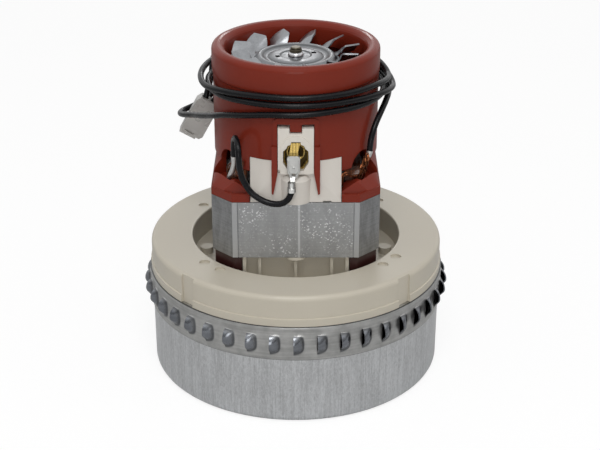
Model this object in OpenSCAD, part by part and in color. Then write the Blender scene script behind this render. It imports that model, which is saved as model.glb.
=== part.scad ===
// Two-stage vacuum motor unit: pressed fan case, louvred exhaust band, moulded
// cover ring and an open universal motor under a moulded top housing.
// The origin is the centre of the case floor and +Z runs up the shaft.

/* [Fan case] */
// Outside radius of the pressed fan case
can_r = 72; // [68:0.5:78]
// Thickness of the case sheet
can_sheet = 1; // [0.6:0.1:1.4]
// Outside radius of the case's bottom corner
can_corner = 2.6; // [1.6:0.2:5]
// Radius of the air inlet in the case floor
eye_r = 19; // [15:0.5:22]
// Height of the raised ring round the inlet
eye_rise = 3; // [1.5:0.25:4]
// Height of the lip turned up round the inlet
eye_lip = 3.6; // [3:0.2:4.4]
// Radius at which the raised ring meets the flat sealing face
step_r = 45; // [38:0.5:52]
// How far the case's rim is drawn in under the band
rim_taper = 0.15; // [0.05:0.05:0.3]

/* [Fan stages] */
// Overall height of one impeller
impeller_h = 9.8; // [8.5:0.1:12]
// Room between an impeller's edge and the case wall
impeller_room = 9; // [6:0.5:13]
// Thickness of the impeller discs
disc_t = 0.8; // [0.6:0.1:1.2]
// Thickness of the impeller blades
impeller_blade_t = 0.9; // [0.6:0.1:1.4]
// Number of blades on each impeller
impeller_blade_n = 7; // [5:1:9]
// Height of the fixed guide between the stages
guide_h = 7.4; // [6:0.2:10]
// Number of guide vanes
guide_vane_n = 12; // [8:1:16]
// Running gap above and below each impeller
stage_gap = 1.9; // [1.2:0.1:3]

/* [Louvre band] */
// Height of the band that holds the louvres
band_h = 17.25; // [15:0.25:20]
// Thickness of the band sheet
band_sheet = 0.8; // [0.6:0.1:1.2]
// Number of louvres
louvre_n = 40; // [24:1:42]
// Height of one louvre
louvre_h = 10.8; // [8:0.2:12]
// How far a louvre stands out of the band
louvre_rise = 3.3; // [2:0.1:4]
// Thickness of the louvre's stretched sheet
louvre_sheet = 0.6; // [0.4:0.1:0.8]

/* [Cover] */
// Height of the cover ring
cover_h = 14.9; // [12:0.1:18]
// Wall of the cover ring
cover_wall = 2.5; // [2:0.1:3.5]
// Rounding of the cover's top edge
cover_round = 2.4; // [1:0.2:4]
// Height of the lip at the foot of the cover's skirt
cover_lip_h = 3.9; // [2:0.1:6]
// Room between the corners of the stack and the cover's hole
hole_room = 0.6; // [0.4:0.1:4]
// Height of the pedestal that carries the stack, from the cover's underside
pedestal_h = 19.75; // [18.5:0.25:26]
// Distance between the pedestal's outer ribs
pedestal_rib_span = 34; // [26:0.5:40]
// Width of the pedestal walls
pedestal_w = 50; // [40:0.5:54]

/* [Stator] */
// Width of the lamination stack across the poles
stack_w = 79; // [76:0.5:84]
// Depth of the lamination stack from front to rear
stack_d = 82.4; // [80:0.2:88]
// Height of the lamination stack
stack_h = 28.2; // [24:0.2:36]
// Chamfer on the four corners of the stack
stack_chamfer = 10; // [8:0.5:12]
// Radius of the rotor's bore through the stack
bore_r = 22; // [20:0.25:23]
// Air gap between rotor and poles
air_gap = 0.5; // [0.4:0.05:0.8]
// Height of the field coil above and below the stack
coil_overhang = 9.5; // [8:0.25:11]
// Radius of the long screws
screw_r = 2; // [1.5:0.1:2.4]

/* [Housing] */
// Outside radius of the housing wall
housing_r = 39.2; // [38.4:0.1:40.5]
// Height of the housing from the stack to the rim
housing_h = 64.15; // [61:0.25:70]
// Thickness of the housing wall
housing_wall = 3; // [2.4:0.1:3.6]
// How far the rim stands out of the wall
rim_step = 0.5; // [0.3:0.1:0.9]
// Height of the rim band
rim_h = 13; // [9:0.5:16]
// Height of the plain collar below the rim's rounded edge
collar_h = 6; // [4:0.25:7]
// Radius of the air inlet at the top
mouth_r = 33.3; // [32.5:0.1:34.2]
// Height of the octagonal foot's edge
foot_h = 4; // [3:0.25:6]
// Height of the cut-out above the stack where the panel sits
panel_top = 19.6; // [18:0.2:22]
// Height of the wall's lower edge above the stack at the sides
wall_bottom = 12.6; // [11.5:0.2:15]

/* [Brush gear] */
// Height of the brush axis above the stack
brush_z = 24.4; // [23:0.2:27]
// Width of the brush holder
holder_w = 16.3; // [15:0.1:18]
// Height of the brush holder
holder_h = 22; // [20:0.2:23]
// Width of the carbon brush
brush_w = 6.3; // [5:0.1:8]
// Height of the carbon brush
brush_h = 11; // [9:0.2:12]
// Length of the carbon brush
brush_len = 15; // [12:0.5:17]
// Radius of the commutator
commutator_r = 12; // [10.5:0.25:13]
// Number of commutator bars
bar_n = 24; // [12:2:32]
// Height of the commutator's foot above the stack
commutator_rise = 12.6; // [11:0.2:15]
// Length of the commutator
commutator_len = 18.4; // [16:0.2:22]

/* [Shaft and bearings] */
// Radius of the shaft at the impellers
shaft_low_r = 5; // [4:0.25:6]
// Radius of the shaft at the upper bearing
shaft_top_r = 4; // [3.5:0.25:4.5]
// Radius of the shaft's threaded top end
stud_r = 2.5; // [2:0.25:3]
// Outside radius of the lower bearing
bearing_low_r = 13; // [12:0.5:14.5]
// Outside radius of the upper bearing
bearing_top_r = 11; // [10:0.5:12]
// Height of the bearings
bearing_h = 7; // [6:0.5:8]
// Room between the commutator and the upper bearing
bearing_rise = 8.3; // [6.5:0.1:10]

/* [Cooling fan] */
// Radius over the cooling fan's blades
fan_r = 30.8; // [28:0.2:31.6]
// Radius of the flat disc of the cooling fan
fan_disc_r = 21; // [18:0.5:23]
// Depth of the fan disc below the rim
fan_depth = 9; // [8:0.25:11]
// Number of cooling fan blades
fan_blade_n = 12; // [9:1:14]
// Pitch of the cooling fan blades
fan_pitch = 34; // [25:1:40]
// Chord of the cooling fan blades
fan_chord = 9.6; // [7:0.2:11]
// Thickness of the cooling fan sheet
fan_sheet = 0.9; // [0.6:0.1:1.2]

/* [Leads] */
// Diameter of the insulated leads
lead_d = 2.9; // [2.2:0.1:2.9]
// Length of the two-way connector
plug_len = 21; // [18:0.5:24]
// Width of the two-way connector
plug_w = 11.6; // [10.5:0.1:12]
// Thickness of the two-way connector
plug_t = 7.6; // [6.5:0.1:8]

/* [Hidden] */

// Fits and seats
fit = 0.05;
seat = 0.15;
eps = 0.01;
arc_n = 5;
round_fn = 72;

// Heights of the fan stages, from the floor up
eye_top = eye_rise + can_sheet + eye_lip;
impeller1_z = can_sheet + eye_rise + 1.2;
impeller1_top = impeller1_z + impeller_h;
guide_z = impeller1_top + stage_gap;
guide_top = guide_z + guide_h;
impeller2_z = guide_top + stage_gap;
impeller2_top = impeller2_z + impeller_h;
impeller_r = can_r - can_sheet - impeller_room;
can_top = impeller2_top;
band_lap = 1.85;
band_z = can_top - band_lap;
band_top = band_z + band_h;
band_r = can_r + fit * 4 + band_sheet;

// Heights of the cover and the motor above it
cover_z = band_top + seat;
cover_top = cover_z + cover_h;
floor_top = cover_z + cover_wall;
stack_z = cover_z + pedestal_h + seat;
stack_top = stack_z + stack_h;
pedestal_top = stack_z - seat;
foot_z = stack_top + seat;
rim_z = foot_z + housing_h;
brush_axis_z = stack_top + brush_z;
fan_z = rim_z - fan_depth;

// Plan of the stack and what follows it
stack_x = stack_w / 2;
stack_y = stack_d / 2;
corner_r = norm([stack_x - stack_chamfer, stack_y]);
hole_r = corner_r + hole_room;
cover_r = can_r - 0.2;
screw_edge_x = 8.1;
screw_edge_y = 8.2;
yoke_x = 8.5;
yoke_y = 7.7;
screw_x = stack_x - screw_edge_x;
screw_y = stack_y - screw_edge_y;
slot_x = stack_x - yoke_x;
slot_y = stack_y - yoke_y;
pole_neck = 15;
tip_t = 4;

// Housing
housing_in = housing_r - housing_wall;
rim_r = housing_r + rim_step;
window_w = holder_w + 0.5;
window_top = brush_axis_z + holder_h / 2 + 2.4;
bezel_w = 2;
bezel_rise = 0.9;
leg_w = 2.7;
leg_tip_z = stack_top + 4.3;
panel_w = 42;
holder_z = brush_axis_z - holder_h / 2 + 1;
holder_face = housing_r + 1.9;
front_y = max(stack_y, holder_face) + 1;

// Bearings and shaft
low_bearing_z = floor_top + 1.4;
low_bearing_top = low_bearing_z + bearing_h;
commutator_z = stack_top + commutator_rise;
commutator_top = commutator_z + commutator_len;
top_bearing_z = commutator_top + bearing_rise;
top_bearing_top = top_bearing_z + bearing_h;
race_t = 2.3;
ball_gap = 0.03;
ball_n = 7;
winding_h = 7.5;
spacer_r = shaft_low_r + 2.4;
shaft_mid_r = shaft_low_r + 0.8;
core_r = bore_r - air_gap;
slot_n = 12;
shaft_bottom = eye_top + 0.3;
shaft_end_z = fan_z + 6.6;
boss_r = 4.2;
guard_pitch = 14;
screw_head_r = 3.3;
screw_sink = 2.6;
screw_top = foot_z + foot_h - 0.8;
cover_screw_r = hole_r - 6.5;

// Brush gear, terminals and connector
tube_t = 0.8;
tube_x = brush_w / 2 + 0.1 + tube_t;
tube_zh = brush_h / 2 + 0.1 + tube_t;
holder_back = housing_in - 1.2;
tube_front = holder_back + 2.4;
tube_back = commutator_r + 2;
brush_end = commutator_r + brush_len;
spring_turns = 6;
spring_wire = 0.35;
flag_w = 5.9;
flag_x = -1;
flag_y = holder_face + 1.5;
barrel_x = -1.9;
barrel_y = stack_y + 5.2;
barrel_z = stack_top + 7.7;
barrel_r = 1.95;
splice_r = 1.15;
plug_top = [-42.6, 20, 128.3];
plug_lean = 29;
plug_pitch = 4.4;
louvre_ball = (louvre_h * louvre_h / 4 + louvre_rise * louvre_rise) / (2 * louvre_rise);
louvre_z = band_z + 0.47 * band_h;

// Lead routes: each point is an angle from the front towards the right, a
// radius and a height, and the lead runs smoothly through them
supply_right_route = [
    [56, 41.6, 118], [57.5, 41.7, 124], [63, 41.8, 130], [71, 42.4, 134.6], [80, 43.2, 137.6],
    [90, 44.2, 139.6], [105, 44.9, 141.6], [125, 44.9, 144], [150, 44.7, 145.6], [175, 44.6, 145.9],
    [195, 44.6, 146.3], [205, 44.6, 147.4], [215, 44.7, 148.4], [228, 44.8, 148.9], [245, 44.9, 149],
    [260, 45, 148.5], [272, 45, 147.8], [288, 44.4, 147.4], [308, 42.9, 148.9], [327, 41.8, 150.1],
    [344, 41.5, 150.5], [360, 41.5, 150.5], [383, 41.6, 150.6], [405, 42, 150.4], [420, 42.4, 150],
    [435, 43.2, 148.7], [450, 43.8, 147.8], [464, 42.8, 149.4], [485, 41.7, 151.1], [510, 41.5, 151.2],
    [530, 41.5, 151.8], [550, 41.5, 152.7], [565, 41.6, 153], [578, 42.4, 153.2], [586, 44.6, 153],
    [592, 47.3, 151.4], [596.5, 48.8, 147.4], [599, 48.4, 141], [602, 48.2, 135.5],
    [604.5, 48.5, 131.5], [605.8, 48.8, 128.9]
];
supply_left_route = [
    [124, 41.6, 118], [124, 41.6, 125], [127, 41.6, 131], [135, 41.5, 135.5], [148, 41.5, 138.5],
    [165, 41.9, 139.8], [185, 42, 140.2], [205, 41.8, 140.4], [220, 41.5, 141.4], [235, 41.5, 143.2],
    [250, 41.5, 145], [265, 41.5, 145.9], [277, 41.5, 145.9], [290, 41.5, 145.5], [310, 41.5, 145.9],
    [322, 41.5, 146.5], [335, 41.5, 146.8], [360, 41.5, 146.9], [378, 41.5, 146.8], [395, 41.7, 146.6],
    [408, 42.5, 146.2], [425, 44.2, 145.3], [438, 45.4, 144.2], [450, 46, 143.4], [463, 45.2, 145.3],
    [476, 43, 146.9], [487, 41.7, 147.5], [510, 41.5, 147.7], [532, 41.5, 147.8], [544, 42.8, 148.8],
    [554, 45, 149.9], [565, 47.9, 149], [575, 48.7, 145], [582, 49.3, 139], [589, 50.3, 131.5],
    [596, 53.8, 125.3], [601, 58.7, 121.9], [606, 61.2, 120.9], [611, 60.5, 121.3], [617, 57, 123],
    [622.5, 52.8, 125],
    [630, 48.2, 127.4], [646, 43.7, 131.5], [658, 42.5, 134.5], [670, 41.7, 137.3], [689, 41.5, 140.4],
    [705, 41.5, 142.2], [724, 41.5, 142.7], [744, 41.5, 143.1], [757, 41.5, 143], [770, 41.5, 142.8],
    [788, 41.5, 142.5], [810, 41.5, 142.3], [825, 41.5, 143.1], [845, 41.5, 144.1], [870, 41.5, 144.2],
    [905, 41.5, 144.1], [921, 41.7, 144], [930, 43.6, 143.5], [940, 45.2, 141.9], [947, 45.6, 139],
    [954, 45.4, 136], [960, 44.6, 132.6], [963, 44, 129.8], [963.8, 45.3, 127.1]
];
jumper_route = [
    [-44, 41.2, 117.8], [-44, 41.2, 122.4], [-42.5, 42, 126.4], [-38.9, 44, 128.9], [-34.9, 46.8, 128.9],
    [-32, 49.2, 126.4], [-31, 50.2, 122.4], [-30.6, 50, 117.2], [-29.4, 49.1, 111.8], [-25.6, 47.7, 105.8],
    [-19.2, 46.8, 102.2], [-13.2, 46.4, 100.9], [-8, 46.4, 101.4], [-4.4, 46.4, 103.5], [-2.4, 46.4, 107.2]
];
splice_jumper = [
    [0, 41.2, 118.1], [-0.2, 41.3, 114.4], [-1.2, 41.6, 110.8], [-2.8, 42.2, 108], [-3.8, 42.4, 105.9]
];
splice_supply = [[0, 41.6, 118.2], [-1.6, 41.4, 114.8], [-4, 41.2, 111.6], [-5.6, 39.8, 108.6], [-6.3, 37.6, 106.2]];

// Helpers
function arc_points(cx, cy, r, from, to) =
    [for (i = [0 : arc_n]) [cx + r * cos(from + (to - from) * i / arc_n), cy + r * sin(from + (to - from) * i / arc_n)]];
function place(p) = [p[1] * sin(p[0]), -p[1] * cos(p[0]), p[2]];
function unit(v) = v / norm(v);
function pass(a, b, c, d, t) =
    (2 * b + (c - a) * t + (2 * a - 5 * b + 4 * c - d) * t * t + (3 * b - a - 3 * c + d) * t * t * t) / 2;
function smooth(route, n) = concat(
    [for (i = [0 : len(route) - 2], j = [0 : n - 1])
        pass(route[max(i - 1, 0)], route[i], route[i + 1], route[min(i + 2, len(route) - 1)], j / n)],
    [route[len(route) - 1]]);
function heading(line, i) = unit(line[min(i + 1, len(line) - 1)] - line[max(i - 1, 0)]);
function ball_radius(outer, inner) = (outer - inner) / 2 - race_t + 0.6;

module at(angle, r, z = 0) {
    rotate([0, 0, angle]) translate([0, -r, z]) children();
}

module ring(outer, inner, z, h) {
    translate([0, 0, z]) difference() {
        cylinder(r = outer, h = h, $fn = round_fn);
        translate([0, 0, -1]) cylinder(r = inner, h = h + 2, $fn = round_fn);
    }
}

module at_four_corners(x, y) {
    for (sx = [-1, 1], sy = [-1, 1]) translate([sx * x, sy * y, 0]) children();
}

module front_and_rear() {
    for (turn = [0, 180]) rotate([0, 0, turn]) children();
}

// A tube swept along a line, with its rings square to the line
module swept(line, outward, r, sides) {
    rings = len(line);
    points = [for (i = [0 : rings - 1])
        let (t = heading(line, i), side = unit(cross(t, outward[i])), up = cross(side, t))
        for (k = [0 : sides - 1]) line[i] + r * (cos(360 * k / sides) * side + sin(360 * k / sides) * up)];
    walls = [for (i = [0 : rings - 2], k = [0 : sides - 1])
        let (a = i * sides + k, b = i * sides + (k + 1) % sides)
        each [[a, b, b + sides], [a, b + sides, a + sides]]];
    start_cap = [for (k = [1 : sides - 2]) [0, k + 1, k]];
    last = (rings - 1) * sides;
    end_cap = [for (k = [1 : sides - 2]) [last, last + k, last + k + 1]];
    polyhedron(points = points, faces = concat(start_cap, walls, end_cap), convexity = 10);
}

// A lead through a route of angle, radius and height
module lead(route, r, steps, sides) {
    rows = smooth(route, steps);
    swept([for (p = rows) place(p)], [for (p = rows) [sin(p[0]), -cos(p[0]), 0]], r, sides);
}

module case_profile() {
    t = can_sheet;
    polygon(concat(
        [[eye_r, eye_top], [eye_r, eye_rise + t]],
        arc_points(eye_r + t, eye_rise + t, t, 180, 270),
        [[step_r - eye_rise, eye_rise], [step_r, 0]],
        arc_points(can_r - can_corner, can_corner, can_corner, 270, 360),
        [[can_r, band_z - 0.25], [can_r - rim_taper, can_top], [can_r - t - rim_taper, can_top]],
        [[can_r - t, band_z - 0.25]],
        arc_points(can_r - can_corner, can_corner, can_corner - t, 360, 270),
        [[step_r + t / 2, t], [step_r - eye_rise + t / 2, eye_rise + t], [eye_r + t, eye_rise + t + eps]],
        [[eye_r + t, eye_top]]
    ));
}

module fan_case() color("silver") {
    rotate_extrude($fn = round_fn) case_profile();
}

// Louvres are half domes whose flat side is open to the air
module half_ball(r, lap) {
    rotate([0, 90, 0]) intersection() {
        sphere(r = r, $fn = 32);
        translate([-r - 1, -r - 1, -lap]) cube([2 * r + 2, 2 * r + 2, r + 2]);
    }
}

module band_profile() {
    round = 0.9;
    polygon(concat(
        [[band_r - band_sheet, band_z], [band_r, band_z]],
        arc_points(band_r - round, band_top - round, round, 0, 90),
        [[shaft_low_r + 11, band_top], [shaft_low_r + 11, band_top - can_sheet]],
        [[band_r - band_sheet, band_top - can_sheet]]
    ));
}

module louvre_band() color("gainsboro") difference() {
    union() {
        rotate_extrude($fn = round_fn) band_profile();
        difference() {
            for (i = [0 : louvre_n - 1]) at(360 * i / louvre_n - 0.9, band_r + louvre_rise - louvre_ball, louvre_z)
                half_ball(louvre_ball, 0);
            cylinder(r = band_r - band_sheet / 2, h = band_top, $fn = round_fn);
        }
    }
    for (i = [0 : louvre_n - 1]) at(360 * i / louvre_n - 0.9, band_r + louvre_rise - louvre_ball, louvre_z)
        half_ball(louvre_ball - louvre_sheet, eps);
    for (a = [0 : 90 : 270]) at(a, cover_screw_r, band_top - 3) cylinder(r = screw_r * 0.8, h = 6, $fn = 24);
}

// A curved vane: a stretch of a ring whose centre lies off the axis
module vane_plan(inner, outer, centre, bend, t) {
    intersection() {
        difference() {
            circle(r = outer, $fn = round_fn);
            circle(r = inner, $fn = round_fn);
        }
        translate([0, 0]) square([outer + 1, outer + 1]);
        translate([centre, 0]) difference() {
            circle(r = bend + t / 2, $fn = round_fn);
            circle(r = bend - t / 2, $fn = round_fn);
        }
    }
}

module impeller() {
    blade_in = eye_r + can_sheet + 3.5;
    ring(impeller_r, eye_r + can_sheet + 1, 0, disc_t);
    ring(impeller_r, shaft_low_r + fit, impeller_h - disc_t, disc_t);
    ring(shaft_low_r + 4.5, shaft_low_r + fit, impeller_h - 2.4, 2.4);
    for (i = [0 : impeller_blade_n - 1]) rotate([0, 0, 360 * i / impeller_blade_n])
        translate([0, 0, disc_t - 0.1]) linear_extrude(impeller_h - 2 * disc_t + 0.2)
            vane_plan(blade_in, impeller_r - 0.4, 0.45 * impeller_r, 0.62 * impeller_r, impeller_blade_t);
}

module impeller_lower() color("lightgray") {
    translate([0, 0, impeller1_z]) impeller();
}

module impeller_upper() color("lightgray") {
    translate([0, 0, impeller2_z]) impeller();
}

module stage_guide() color("darkgray") {
    rim = can_r - can_sheet - seat;
    ring(impeller_r - 2, spacer_r + 0.8, guide_z, disc_t);
    ring(rim, eye_r, guide_top - disc_t, disc_t);
    ring(rim, rim - disc_t, guide_z, guide_h - eps);
    ring(eye_r + disc_t, eye_r, guide_top - eps, stage_gap + disc_t + 1);
    for (i = [0 : guide_vane_n - 1]) rotate([0, 0, 360 * i / guide_vane_n])
        translate([0, 0, guide_z + disc_t - 0.1]) linear_extrude(guide_h - 2 * disc_t + 0.2)
            mirror([0, 1]) vane_plan(eye_r + 3, impeller_r - 2.5, 0.4 * impeller_r, 0.66 * impeller_r, disc_t);
}

// The cover: an annular shell with the recess for the motor in its middle
module cover_profile() {
    skirt_in = cover_r - cover_wall;
    wall_out = hole_r + cover_wall;
    lip_r = cover_r + 0.6;
    edge = 0.8;
    polygon(concat(
        [[spacer_r + 0.8, cover_z], [wall_out, cover_z], [wall_out, cover_top - cover_wall]],
        [[skirt_in, cover_top - cover_wall], [skirt_in, cover_z], [lip_r, cover_z]],
        [[lip_r, cover_z + cover_lip_h - 0.3], [cover_r, cover_z + cover_lip_h]],
        arc_points(cover_r - cover_round, cover_top - cover_round, cover_round, 0, 90),
        arc_points(hole_r + edge, cover_top - edge, edge, 90, 180),
        [[hole_r, floor_top], [spacer_r + 0.8, floor_top]]
    ));
}

module pedestal() {
    wall_y = stack_y - 4.9;
    rib_y = stack_y - 1.4;
    h = pedestal_top - floor_top + eps;
    bulge_r = 5.6;
    difference() {
        translate([-pedestal_w / 2, -wall_y, floor_top - eps]) cube([pedestal_w, cover_wall - 0.5, h]);
        at_four_corners(screw_x, screw_y) translate([0, 0, floor_top + 6]) cylinder(r = boss_r + seat, h = h, $fn = 32);
    }
    for (x = [-pedestal_rib_span / 2, 0, pedestal_rib_span / 2])
        translate([x - 0.7, -rib_y, floor_top - eps]) cube([1.4, rib_y - wall_y + 0.5, h]);
    difference() {
        for (x = [-1, 1]) translate([x * (pedestal_w / 2 - 0.8) - 0.8, -rib_y, floor_top - eps])
            cube([1.6, rib_y - wall_y + 0.5, h]);
        at_four_corners(screw_x, screw_y) translate([0, 0, floor_top + 6]) cylinder(r = boss_r + seat, h = h, $fn = 32);
    }
    translate([0, -wall_y, pedestal_top - 1.2]) cylinder(r = bulge_r, h = 1.2, $fn = 48);
    translate([0, -wall_y, pedestal_top - 4.2]) cylinder(r1 = 1.2, r2 = bulge_r, h = 3.01, $fn = 48);
    translate([-1.4, -wall_y + 1, floor_top - eps]) cube([2.8, wall_y - bearing_low_r - 2, 5]);
}

module cover_bracket() color("antiquewhite") difference() {
    union() {
        rotate_extrude($fn = round_fn) cover_profile();
        front_and_rear() pedestal();
        ring(bearing_low_r + 3, spacer_r + 0.8, cover_z + eps, low_bearing_top + 0.6 - cover_z);
        at_four_corners(screw_x, screw_y) translate([0, 0, floor_top - eps]) cylinder(r = boss_r, h = 6, $fn = 32);
        for (a = [0 : 90 : 270]) at(a, cover_screw_r, floor_top - eps) cylinder(r = 3.2, h = 3.4, $fn = 32);
    }
    translate([0, 0, low_bearing_z - seat]) cylinder(r = bearing_low_r + fit, h = pedestal_h, $fn = round_fn);
    at_four_corners(screw_x, screw_y) translate([0, 0, cover_z - 1]) {
        cylinder(r = screw_r + fit, h = 16, $fn = 24);
        cylinder(r = screw_head_r + 0.4, h = screw_sink + 1, $fn = 32);
    }
    for (a = [0 : 90 : 270]) at(a, cover_screw_r, cover_z - 1)
        cylinder(r = screw_r * 0.75 + fit, h = cover_wall + 3.6, $fn = 24);
    for (a = [45 : 90 : 315]) at(a, cover_r + 1, cover_z - 1)
        translate([-4, 0, 0]) cube([8, 2, cover_h + 3]);
    for (a = [-50, -39, 47, 58, 130, 141, 227, 238]) at(a, hole_r + 5.2, cover_top - 0.9)
        cylinder(r = 2.6, h = 2, $fn = 32);
    front_and_rear() for (x = [-7.6, 7.6]) translate([x - 1.6, -stack_y, pedestal_top - 1]) cube([3.2, 8, 2]);
}

module lower_coil_guard() color("darkred") difference() {
    guard_z = floor_top + 6 + seat;
    translate([0, 0, guard_z]) linear_extrude(pedestal_top - guard_z) difference() {
        stack_outline(1.1);
        difference() {
            stack_outline(3.1);
            at_four_corners(screw_x, screw_y) circle(r = boss_r, $fn = 32);
        }
        difference() {
            square([pedestal_w + 1, 2 * stack_y], center = true);
            at_four_corners(screw_x, screw_y) circle(r = boss_r, $fn = 32);
        }
    }
    at_four_corners(screw_x, screw_y) translate([0, 0, guard_z - 1])
        cylinder(r = screw_r + fit, h = pedestal_h + 2, $fn = 24);
    for (i = [-1 : 1]) translate([-stack_x, i * guard_pitch - 5, guard_z - 1]) cube([stack_w, 10, 5.5]);
}

// Plan of the laminations
module stack_outline(inset) {
    x = stack_x - inset;
    y = stack_y - inset;
    c = stack_chamfer - inset * 0.59;
    polygon([[-x + c, -y], [x - c, -y], [x, -y + c], [x, y - c], [x - c, y], [-x + c, y], [-x, y - c], [-x, -y + c]]);
}

module slot_plan(x, y, r) {
    polygon(concat(
        arc_points(x - r, y - r, r, 0, 90), arc_points(-x + r, y - r, r, 90, 180),
        arc_points(-x + r, -y + r, r, 180, 270), arc_points(x - r, -y + r, r, 270, 360)
    ));
}

module stator_core() color("slategray") translate([0, 0, stack_z]) linear_extrude(stack_h) difference() {
    stack_outline(0);
    difference() {
        slot_plan(slot_x, slot_y, 9);
        for (side = [-1, 1]) translate([side > 0 ? bore_r - 3 : -stack_x, -pole_neck])
            square([stack_x - bore_r + 3, 2 * pole_neck]);
        intersection() {
            difference() {
                circle(r = bore_r + tip_t, $fn = round_fn);
                circle(r = bore_r, $fn = round_fn);
            }
            square([2 * stack_x, 2 * (bore_r - 3)], center = true);
        }
    }
    circle(r = bore_r, $fn = round_fn);
    at_four_corners(screw_x, screw_y) circle(r = screw_r + 0.15, $fn = 24);
    front_and_rear() for (x = [-27.2, 26.8]) translate([x, -stack_y - 1]) square([0.5, 1.4]);
}

// Field coils, wound round the pole necks
module field_coil() {
    inner_y = pole_neck + 0.3;
    outer_y = bore_r + 2.4;
    depth = slot_x - 0.3 - (bore_r + 1);
    low = stack_z - coil_overhang;
    high = stack_top + coil_overhang;
    translate([bore_r + 1, 0, 0]) rotate([90, 0, 90]) linear_extrude(depth) translate([0, (low + high) / 2])
        difference() {
            slot_plan(outer_y, (high - low) / 2, 8);
            slot_plan(inner_y, stack_h / 2 + 0.6, 1);
        }
}

module field_coil_right() color("peru") field_coil();

module field_coil_left() color("peru") mirror([1, 0, 0]) field_coil();

// The panels stand on the stack and lean in to the housing wall
module panel() {
    top_z = stack_top + panel_top - seat;
    foot_y = stack_y - 0.4;
    bulge_r = 7.4;
    difference() {
        union() {
            hull() {
                translate([-panel_w / 2, -foot_y, foot_z]) cube([panel_w, 2, 0.2]);
                translate([0, 0, top_z - 0.2]) linear_extrude(0.2) intersection() {
                    difference() {
                        circle(r = housing_r, $fn = 96);
                        circle(r = housing_r - 2, $fn = 96);
                    }
                    translate([-panel_w / 2, -housing_r - 1]) square([panel_w, housing_r]);
                }
            }
            translate([0, -foot_y + 3.8, foot_z]) cylinder(r = bulge_r, h = holder_z - foot_z - 3.2, $fn = 48);
            translate([0, -foot_y + 3.8, holder_z - 3.2 - eps])
                cylinder(r1 = bulge_r, r2 = bulge_r - 1.6, h = 2, $fn = 48);
        }
        translate([0, 0, foot_z - 1]) cylinder(r = housing_in - 0.4, h = panel_top + 4, $fn = 96);
        translate([-holder_w / 2 - 0.25, -front_y - 8, holder_z - seat]) cube([holder_w + 0.5, 2 * holder_w, panel_top + 8]);
        for (x = [-14.5, 14.5]) translate([x - 1.9, -foot_y - 1, foot_z - 1]) cube([3.8, 1.8, 1.7]);
    }
}

module front_panel() color("linen") panel();

module rear_panel() color("linen") rotate([0, 0, 180]) panel();

// Moulded housing round the motor, open at the top for cooling air
module wall_profile() {
    round = 2.6;
    lip = 3.4;
    throat_z = rim_z - rim_h;
    polygon(concat(
        [[housing_in, stack_top + wall_bottom], [housing_r, stack_top + wall_bottom]],
        [[housing_r, throat_z], [rim_r - 0.1, throat_z + 0.6], [rim_r, rim_z - round - collar_h]],
        arc_points(rim_r - round, rim_z - round, round, 0, 90),
        arc_points(mouth_r + lip, rim_z - lip, lip, 90, 180),
        [[mouth_r, throat_z + 1.5], [housing_in, throat_z - 2]]
    ));
}

module bezel_plan() {
    edge = window_w / 2;
    outer = edge + bezel_w;
    top = window_top + leg_w;
    shoulder = brush_axis_z + 2.6;
    difference() {
        union() {
            translate([0, shoulder]) polygon(concat(
                [[-outer, 0], [outer, 0]],
                arc_points(outer - 2.6, top - shoulder - 2.6, 2.6, 0, 90),
                arc_points(-outer + 2.6, top - shoulder - 2.6, 2.6, 90, 180)
            ));
            for (side = [-1, 1]) polygon([
                [side * edge, shoulder], [side * (edge + leg_w), shoulder], [side * (edge + leg_w), leg_tip_z + 0.4],
                [side * (edge + leg_w - 0.8), leg_tip_z], [side * edge, holder_z - 0.4]
            ]);
        }
        translate([-edge, leg_tip_z - 1]) square([2 * edge, window_top - leg_tip_z + 1]);
    }
}

module bezel() {
    top = window_top + leg_w;
    panel_z = stack_top + panel_top;
    mid_z = foot_z + 0.6 * panel_top;
    mid_y = 0.4 * (stack_y - 0.4) + 0.6 * housing_r;
    intersection() {
        translate([0, -housing_in, 0]) rotate([90, 0, 0]) linear_extrude(10) bezel_plan();
        ring(housing_r + bezel_rise, housing_r - 1, panel_z, top - panel_z + 1);
    }
    intersection() {
        translate([0, -housing_in, 0]) rotate([90, 0, 0]) linear_extrude(10) bezel_plan();
        rotate([90, 0, 90]) translate([0, 0, -stack_x]) linear_extrude(stack_w) polygon([
            [-housing_r - 0.7, brush_axis_z + 2.6], [-stack_y - 1, leg_tip_z - 1], [-stack_y + 0.2, leg_tip_z - 1],
            [-mid_y - seat, mid_z], [-housing_r + 0.75, panel_z], [-housing_r + 1.4, panel_z],
            [-housing_r + 1.4, brush_axis_z + 2.6]
        ]);
    }
    translate([-2.6, -housing_r - 0.6, window_top - 3.6]) cube([5.2, 1.5, 4.6]);
}

module corner_opening() {
    half = 8;
    low = stack_top + foot_h + 0.25;
    arch = stack_top + wall_bottom - 1.4;
    translate([0, 5, low]) rotate([90, 0, 0]) linear_extrude(10) polygon(concat(
        [[-half, 0], [half, 0]],
        arc_points(0, arch - low, half, 8, 90),
        arc_points(0, arch - low, half, 90, 172)
    ));
}

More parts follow.
